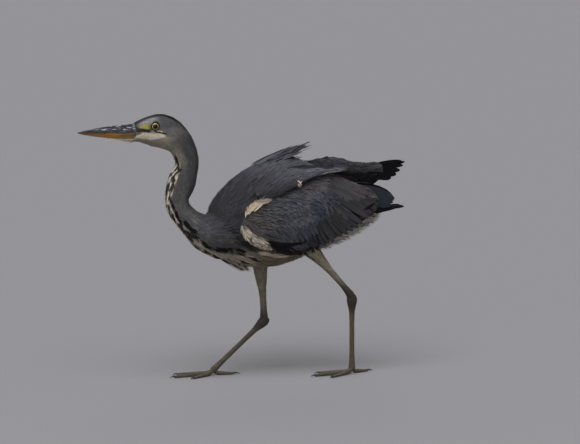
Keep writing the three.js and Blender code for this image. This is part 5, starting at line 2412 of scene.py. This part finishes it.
DOWN = FeatherFinish("down", 14, 9, 0.12, 0.2, 0.1, 0.14, 0.85, 0.03)
COVERT = FeatherFinish("covert", 26, 13, 0.14, 0.24, 0.55, 0.3, 0.8, 0.03)
# Its darkened edges are painted shade in the slits between overlapping quills.
VANE_GREY = FeatherFinish("vane_grey", 150, 52, 0.12, 0.2, -0.6, 0.35, 0.7, 0.02)
VANE_BLACK = FeatherFinish("vane_black", 170, 52, 0.1, 0.2, 0.6, 0.3, 0.62, 0.0)
VANE_SLATE = FeatherFinish("vane_slate", 150, 50, 0.1, 0.16, 0.5, 0.4, 0.66, 0.0)


class Finishes:
    """The bird's materials, each made once."""

    def __init__(self) -> None:
        """Makes the shared node groups."""
        self.made: dict = {}
        self.barbs = barbs_group()
        self.mottle = mottle_group()

    def start(self, name: str, roughness: float) -> tuple:
        """Starts a material over the plumage's own colours.

        Args:
            name: its name.
            roughness: its roughness.

        Returns:
            The material, a graph on it, its shader and the colour's socket.
        """
        material = bpy.data.materials.new(name)
        material.use_nodes = True
        graph = Graph(material.node_tree)
        shader = material.node_tree.nodes["Principled BSDF"]
        shader.inputs["Roughness"].default_value = roughness
        colour = graph.node("Attribute", attribute_name="Plumage")
        self.made[name] = material
        return material, graph, shader, colour.outputs["Color"]

    @staticmethod
    def bump(graph: Graph, shader: bpy.types.Node, height: object, relief: float) -> None:
        """Feeds a bump of a given depth in mm into the shader's normal."""
        made = graph.node("Bump")
        made.inputs["Strength"].default_value = 1.0
        made.inputs["Distance"].default_value = relief * MM
        graph.feed(made.inputs["Height"], height)
        graph.feed(shader.inputs["Normal"], made.outputs[0])

    def feather(self, kind: FeatherFinish) -> bpy.types.Material:
        """Returns a feather material."""
        if kind.name in self.made:
            return self.made[kind.name]
        material, graph, shader, colour = self.start(kind.name, kind.roughness)
        shader.inputs["Sheen Weight"].default_value = kind.sheen
        shader.inputs["Sheen Roughness"].default_value = 0.5
        shader.inputs["Specular IOR Level"].default_value = 0.12
        barbs = graph.node("Group", node_tree=self.barbs)
        barbs.inputs["Count"].default_value = kind.count
        barbs.inputs["Slant"].default_value = kind.slant
        mottle = graph.node("Group", node_tree=self.mottle)
        lightest = 1 - kind.contrast * 0.5
        dark = graph.math("MULTIPLY_ADD", barbs.outputs["Shade"], kind.contrast, lightest)
        edge = graph.math("MULTIPLY_ADD", barbs.outputs["Edge"], kind.pale_edge, 1.0)
        shaft = graph.math("MULTIPLY_ADD", barbs.outputs["Shaft"], -kind.shaft, 1.0)
        patch = graph.math("MULTIPLY_ADD", mottle.outputs["Patches"], 0.16, 0.92)
        grain = graph.math("MULTIPLY_ADD", mottle.outputs["Fine"], 0.24, 0.88)
        factor = dark
        for part in (edge, shaft, patch, grain):
            factor = graph.math("MULTIPLY", factor, part)
        graph.feed(shader.inputs["Base Color"], graph.tint(colour, factor))
        rough = graph.math("MULTIPLY_ADD", mottle.outputs["Fine"], 0.2, kind.roughness - 0.1)
        graph.feed(shader.inputs["Roughness"], rough)
        self.bump(graph, shader, barbs.outputs["Height"], kind.relief)
        return material

    def skin(self) -> bpy.types.Material:
        """Returns the skin's material: small scales over folds, on head, legs and feet."""
        if "skin" in self.made:
            return self.made["skin"]
        material, graph, shader, colour = self.start("skin", 0.62)
        place = graph.node("TexCoord")
        scales = graph.node("TexVoronoi", feature="DISTANCE_TO_EDGE")
        graph.feed(scales.inputs["Vector"], place.outputs["Object"])
        scales.inputs["Scale"].default_value = 420.0
        crease = graph.ramp(scales.outputs["Distance"], 0.0, 0.16)
        mottle = graph.node("Group", node_tree=self.mottle)
        mottle.inputs["Patch"].default_value = 130.0
        shade = graph.math("MULTIPLY_ADD", crease, 0.34, 0.72)
        patch = graph.math("MULTIPLY_ADD", mottle.outputs["Patches"], 0.4, 0.8)
        graph.feed(shader.inputs["Base Color"], graph.tint(colour, graph.math("MULTIPLY", shade, patch)))
        rough = graph.math("MULTIPLY_ADD", mottle.outputs["Fine"], 0.3, 0.42)
        graph.feed(shader.inputs["Roughness"], rough)
        self.bump(graph, shader, crease, 0.3)
        return material

    def horn(self) -> bpy.types.Material:
        """Returns the horn of bill and claws: long growth lines, painted highlight flecks, dark stains and
        a waxy shine.
        """
        if "horn" in self.made:
            return self.made["horn"]
        material, graph, shader, colour = self.start("horn", 0.34)
        shader.inputs["Coat Weight"].default_value = 0.25
        shader.inputs["Coat Roughness"].default_value = 0.25
        lines = graph.noise(1500.0, 3.0, (0.035, 1, 1))
        broad = graph.noise(330.0, 2.0, (0.06, 1, 1))
        mottle = graph.node("Group", node_tree=self.mottle)
        mottle.inputs["Patch"].default_value = 150.0
        streak = graph.math("MULTIPLY_ADD", graph.ramp(broad, 0.35, 0.68), 0.5, 0.74)
        fine = graph.math("MULTIPLY_ADD", lines, 0.5, 0.75)
        factor = graph.math("MULTIPLY", streak, fine)
        highlight_and_stain = graph.math("SUBTRACT", 1.0, colour.node.outputs["Alpha"])
        # Painted highlights: pale blue flecks where the mask says; the dark stains beside them are the
        # horn's own.
        highlight_fleck = graph.ramp(graph.noise(330.0, 5.0, (0.26, 1, 1)), 0.53, 0.59)
        stain = graph.ramp(graph.noise(430.0, 4.0, (0.4, 1, 1)), 0.55, 0.63)
        toned = graph.tint(colour, factor)
        toned = graph.mix(toned, (0.44, 0.48, 0.56, 1), graph.math("MULTIPLY", highlight_fleck, highlight_and_stain))
        toned = graph.mix(toned, (0.006, 0.006, 0.008, 1), graph.math("MULTIPLY", stain, highlight_and_stain))
        graph.feed(shader.inputs["Base Color"], toned)
        rough = graph.math("MULTIPLY_ADD", mottle.outputs["Patches"], 0.22, 0.24)
        graph.feed(shader.inputs["Roughness"], rough)
        self.bump(graph, shader, graph.math("ADD", lines, broad), 0.16)
        return material

    def eyeball(self) -> bpy.types.Material:
        """Returns the eye's material: fibres in the iris under a wet clear surface."""
        if "eyeball" in self.made:
            return self.made["eyeball"]
        material, graph, shader, colour = self.start("eyeball", 0.12)
        shader.inputs["Specular IOR Level"].default_value = 0.2
        shader.inputs["Coat Weight"].default_value = 0.4
        shader.inputs["Coat Roughness"].default_value = 0.02
        fibres = graph.math("MULTIPLY_ADD", graph.noise(1600.0, 3.0), 0.5, 0.75)
        graph.feed(shader.inputs["Base Color"], graph.tint(colour, fibres))
        return material


# ---------------------------------------------------------------- the stage


@dataclass(frozen=True)
class Stage:
    """The floor, the lights and the camera.

    Attributes:
        azimuth: the camera's place round the bird, in degrees.
        elevation: its height above the horizon, in degrees.
        frame_width: how much the view takes in at the bird, in metres.
        distance: how far away it stands, in metres.
        aim: the drawn point in the middle of the view.
        sensor: the width of the camera's sensor, in mm.
    """

    azimuth: float = -25.0
    elevation: float = 8.0
    frame_width: float = 1.16
    distance: float = 38.0
    aim: tuple = (-1.2, 0.0, 308.0)
    sensor: float = 36.0

    SIGHT = 100.0  # how far the camera sees, in metres
    LIT = (0, 0, 0.3)  # the place that the area light faces
    SUN_WIDTH = math.radians(50)
    FLOOR_SIZE = 30.0
    FLOOR_COLOUR = (0.285, 0.28, 0.297, 1)
    WORLD_COLOUR = (0.9, 0.92, 0.96, 1)
    WORLD_STRENGTH = 0.24

    def camera(self) -> None:
        """Sets up the camera."""
        turn, rise = math.radians(self.azimuth), math.radians(self.elevation)
        back = Vector(
            (math.sin(turn) * math.cos(rise), -math.cos(turn) * math.cos(rise), math.sin(rise))
        )
        data = bpy.data.cameras.new("camera")
        data.sensor_width = self.sensor
        data.lens = self.sensor * self.distance / self.frame_width
        data.clip_end = self.SIGHT
        place = Vector(DRAWING.metres(np.array(self.aim))) + back * self.distance
        bpy.context.scene.camera = self.hang(data, -back, place)

    @staticmethod
    def floor() -> None:
        """Lays a plain pale floor."""
        shape = bmesh.new()
        bmesh.ops.create_grid(shape, x_segments=1, y_segments=1, size=Stage.FLOOR_SIZE)
        mesh = bpy.data.meshes.new("floor")
        shape.to_mesh(mesh)
        shape.free()
        thing = link(mesh, "floor")
        material = bpy.data.materials.new("floor")
        material.use_nodes = True
        shader = material.node_tree.nodes["Principled BSDF"]
        shader.inputs["Base Color"].default_value = Stage.FLOOR_COLOUR
        shader.inputs["Roughness"].default_value = 0.9
        mesh.materials.append(material)

    @staticmethod
    def light(name: str, place: tuple, size: float, power: float) -> None:
        """Hangs one square soft light that faces the bird.

        Args:
            name: its name.
            place: where it hangs, in metres.
            size: its width in metres.
            power: its power in watts.
        """
        data = bpy.data.lights.new(name, "AREA")
        data.shape = "SQUARE"
        data.size = size
        data.energy = power
        Stage.hang(data, Vector(Stage.LIT) - Vector(place), place)

    @staticmethod
    def hang(data: bpy.types.ID, way: Vector, place: tuple = (0, 0, 0)) -> bpy.types.Object:
        """Puts a camera or a light in the scene.

        Args:
            data: the camera or the light.
            way: the direction in which it looks or shines.
            place: where it is, in metres.

        Returns:
            Its object.
        """
        thing = bpy.data.objects.new(data.name, data)
        thing.location = place
        thing.rotation_mode = "QUATERNION"
        thing.rotation_quaternion = way.to_track_quat("-Z", "Y")
        bpy.context.scene.collection.objects.link(thing)
        return thing

    @staticmethod
    def sun(name: str, towards: Vector, strength: float) -> None:
        """Hangs a large even light.

        Args:
            name: its name.
            towards: the direction that it comes from.
            strength: its strength.
        """
        data = bpy.data.lights.new(name, "SUN")
        data.energy = strength
        data.angle = Stage.SUN_WIDTH
        Stage.hang(data, -towards)

    def build(self) -> None:
        """Builds the stage."""
        self.camera()
        self.floor()
        self.sun("sky", Vector((-0.3, -0.55, 1.0)), 2.4)
        self.sun("far", Vector((0.5, 1.0, 0.45)), 0.55)
        self.light("front", (-2.4, -2.6, 1.2), 2.0, 12.0)
        world = bpy.data.worlds.new("studio")
        world.use_nodes = True
        background = world.node_tree.nodes["Background"]
        background.inputs["Color"].default_value = self.WORLD_COLOUR
        background.inputs["Strength"].default_value = self.WORLD_STRENGTH
        bpy.context.scene.world = world
        bpy.context.scene.view_settings.view_transform = "Standard"


# ---------------------------------------------------------------- the bird


def main() -> None:
    """Builds the heron, piece by piece, and the stage round it."""
    logging.basicConfig(level=logging.INFO, format="%(message)s")
    Stage().build()
    finishes = Finishes()
    flesh = Flesh()
    skin, surface, labels = flesh.build()
    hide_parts(*Flesh.BODY_NODES, *flesh.leg_names())
    finish_piece(skin, finishes.skin())
    groomer = Groomer(surface, labels)
    for tract in SMALL_TRACTS:
        piece = stamp(tract.name, groomer.lines(tract), tract.vane)
        finish_piece(piece, finishes.feather(DOWN))
    for piece, slot, finish in Wings(groomer).build():
        finish_piece(piece, finishes.feather(finish))
    for side in (LEFT, RIGHT):
        piece, slot = Thigh(side, surface).build(groomer.random)
        finish_piece(piece, finishes.feather(DOWN))
    legs = Groomer(flesh.bare, np.full(len(flesh.bare.points), Flesh.REGIONS.index(Region.LEG)))
    scutes = stamp(SCUTES.name, legs.lines(SCUTES), SCUTES.vane)
    keep_off_floor(scutes)
    finish_piece(scutes, finishes.skin())
    random = groomer.random
    finish_piece(Tail().build(random), finishes.feather(VANE_SLATE))
    plumes = [f"plume_back_{place}" for place in ("middle", "left", "right")]
    finish_piece(tufts("plume_back", BACK_TUFT, random, *plumes), finishes.feather(DOWN))
    plumes = [f"plume_breast_{side}" for side in NAMES.values()]
    breast = tufts("plume_breast", BREAST_TUFT, random, *plumes)
    finish_piece(breast, finishes.feather(DOWN))
    shoulder = tufts("shoulder_tufts", SHOULDER_TUFT, random, surface=surface)
    finish_piece(shoulder, finishes.feather(DOWN))
    finish_piece(tufts("chin_tufts", CHIN_TUFT, random), finishes.feather(DOWN))
    for half, slot in Bill().build():
        finish_piece(half, finishes.horn())
    for eye in EYES:
        finish_piece(EyeDress().ball(eye), finishes.eyeball())
        finish_piece(EyeDress().lids(eye), finishes.skin())
    finish_piece(Claws().build(), finishes.horn())


if __name__ == "__main__":
    main()
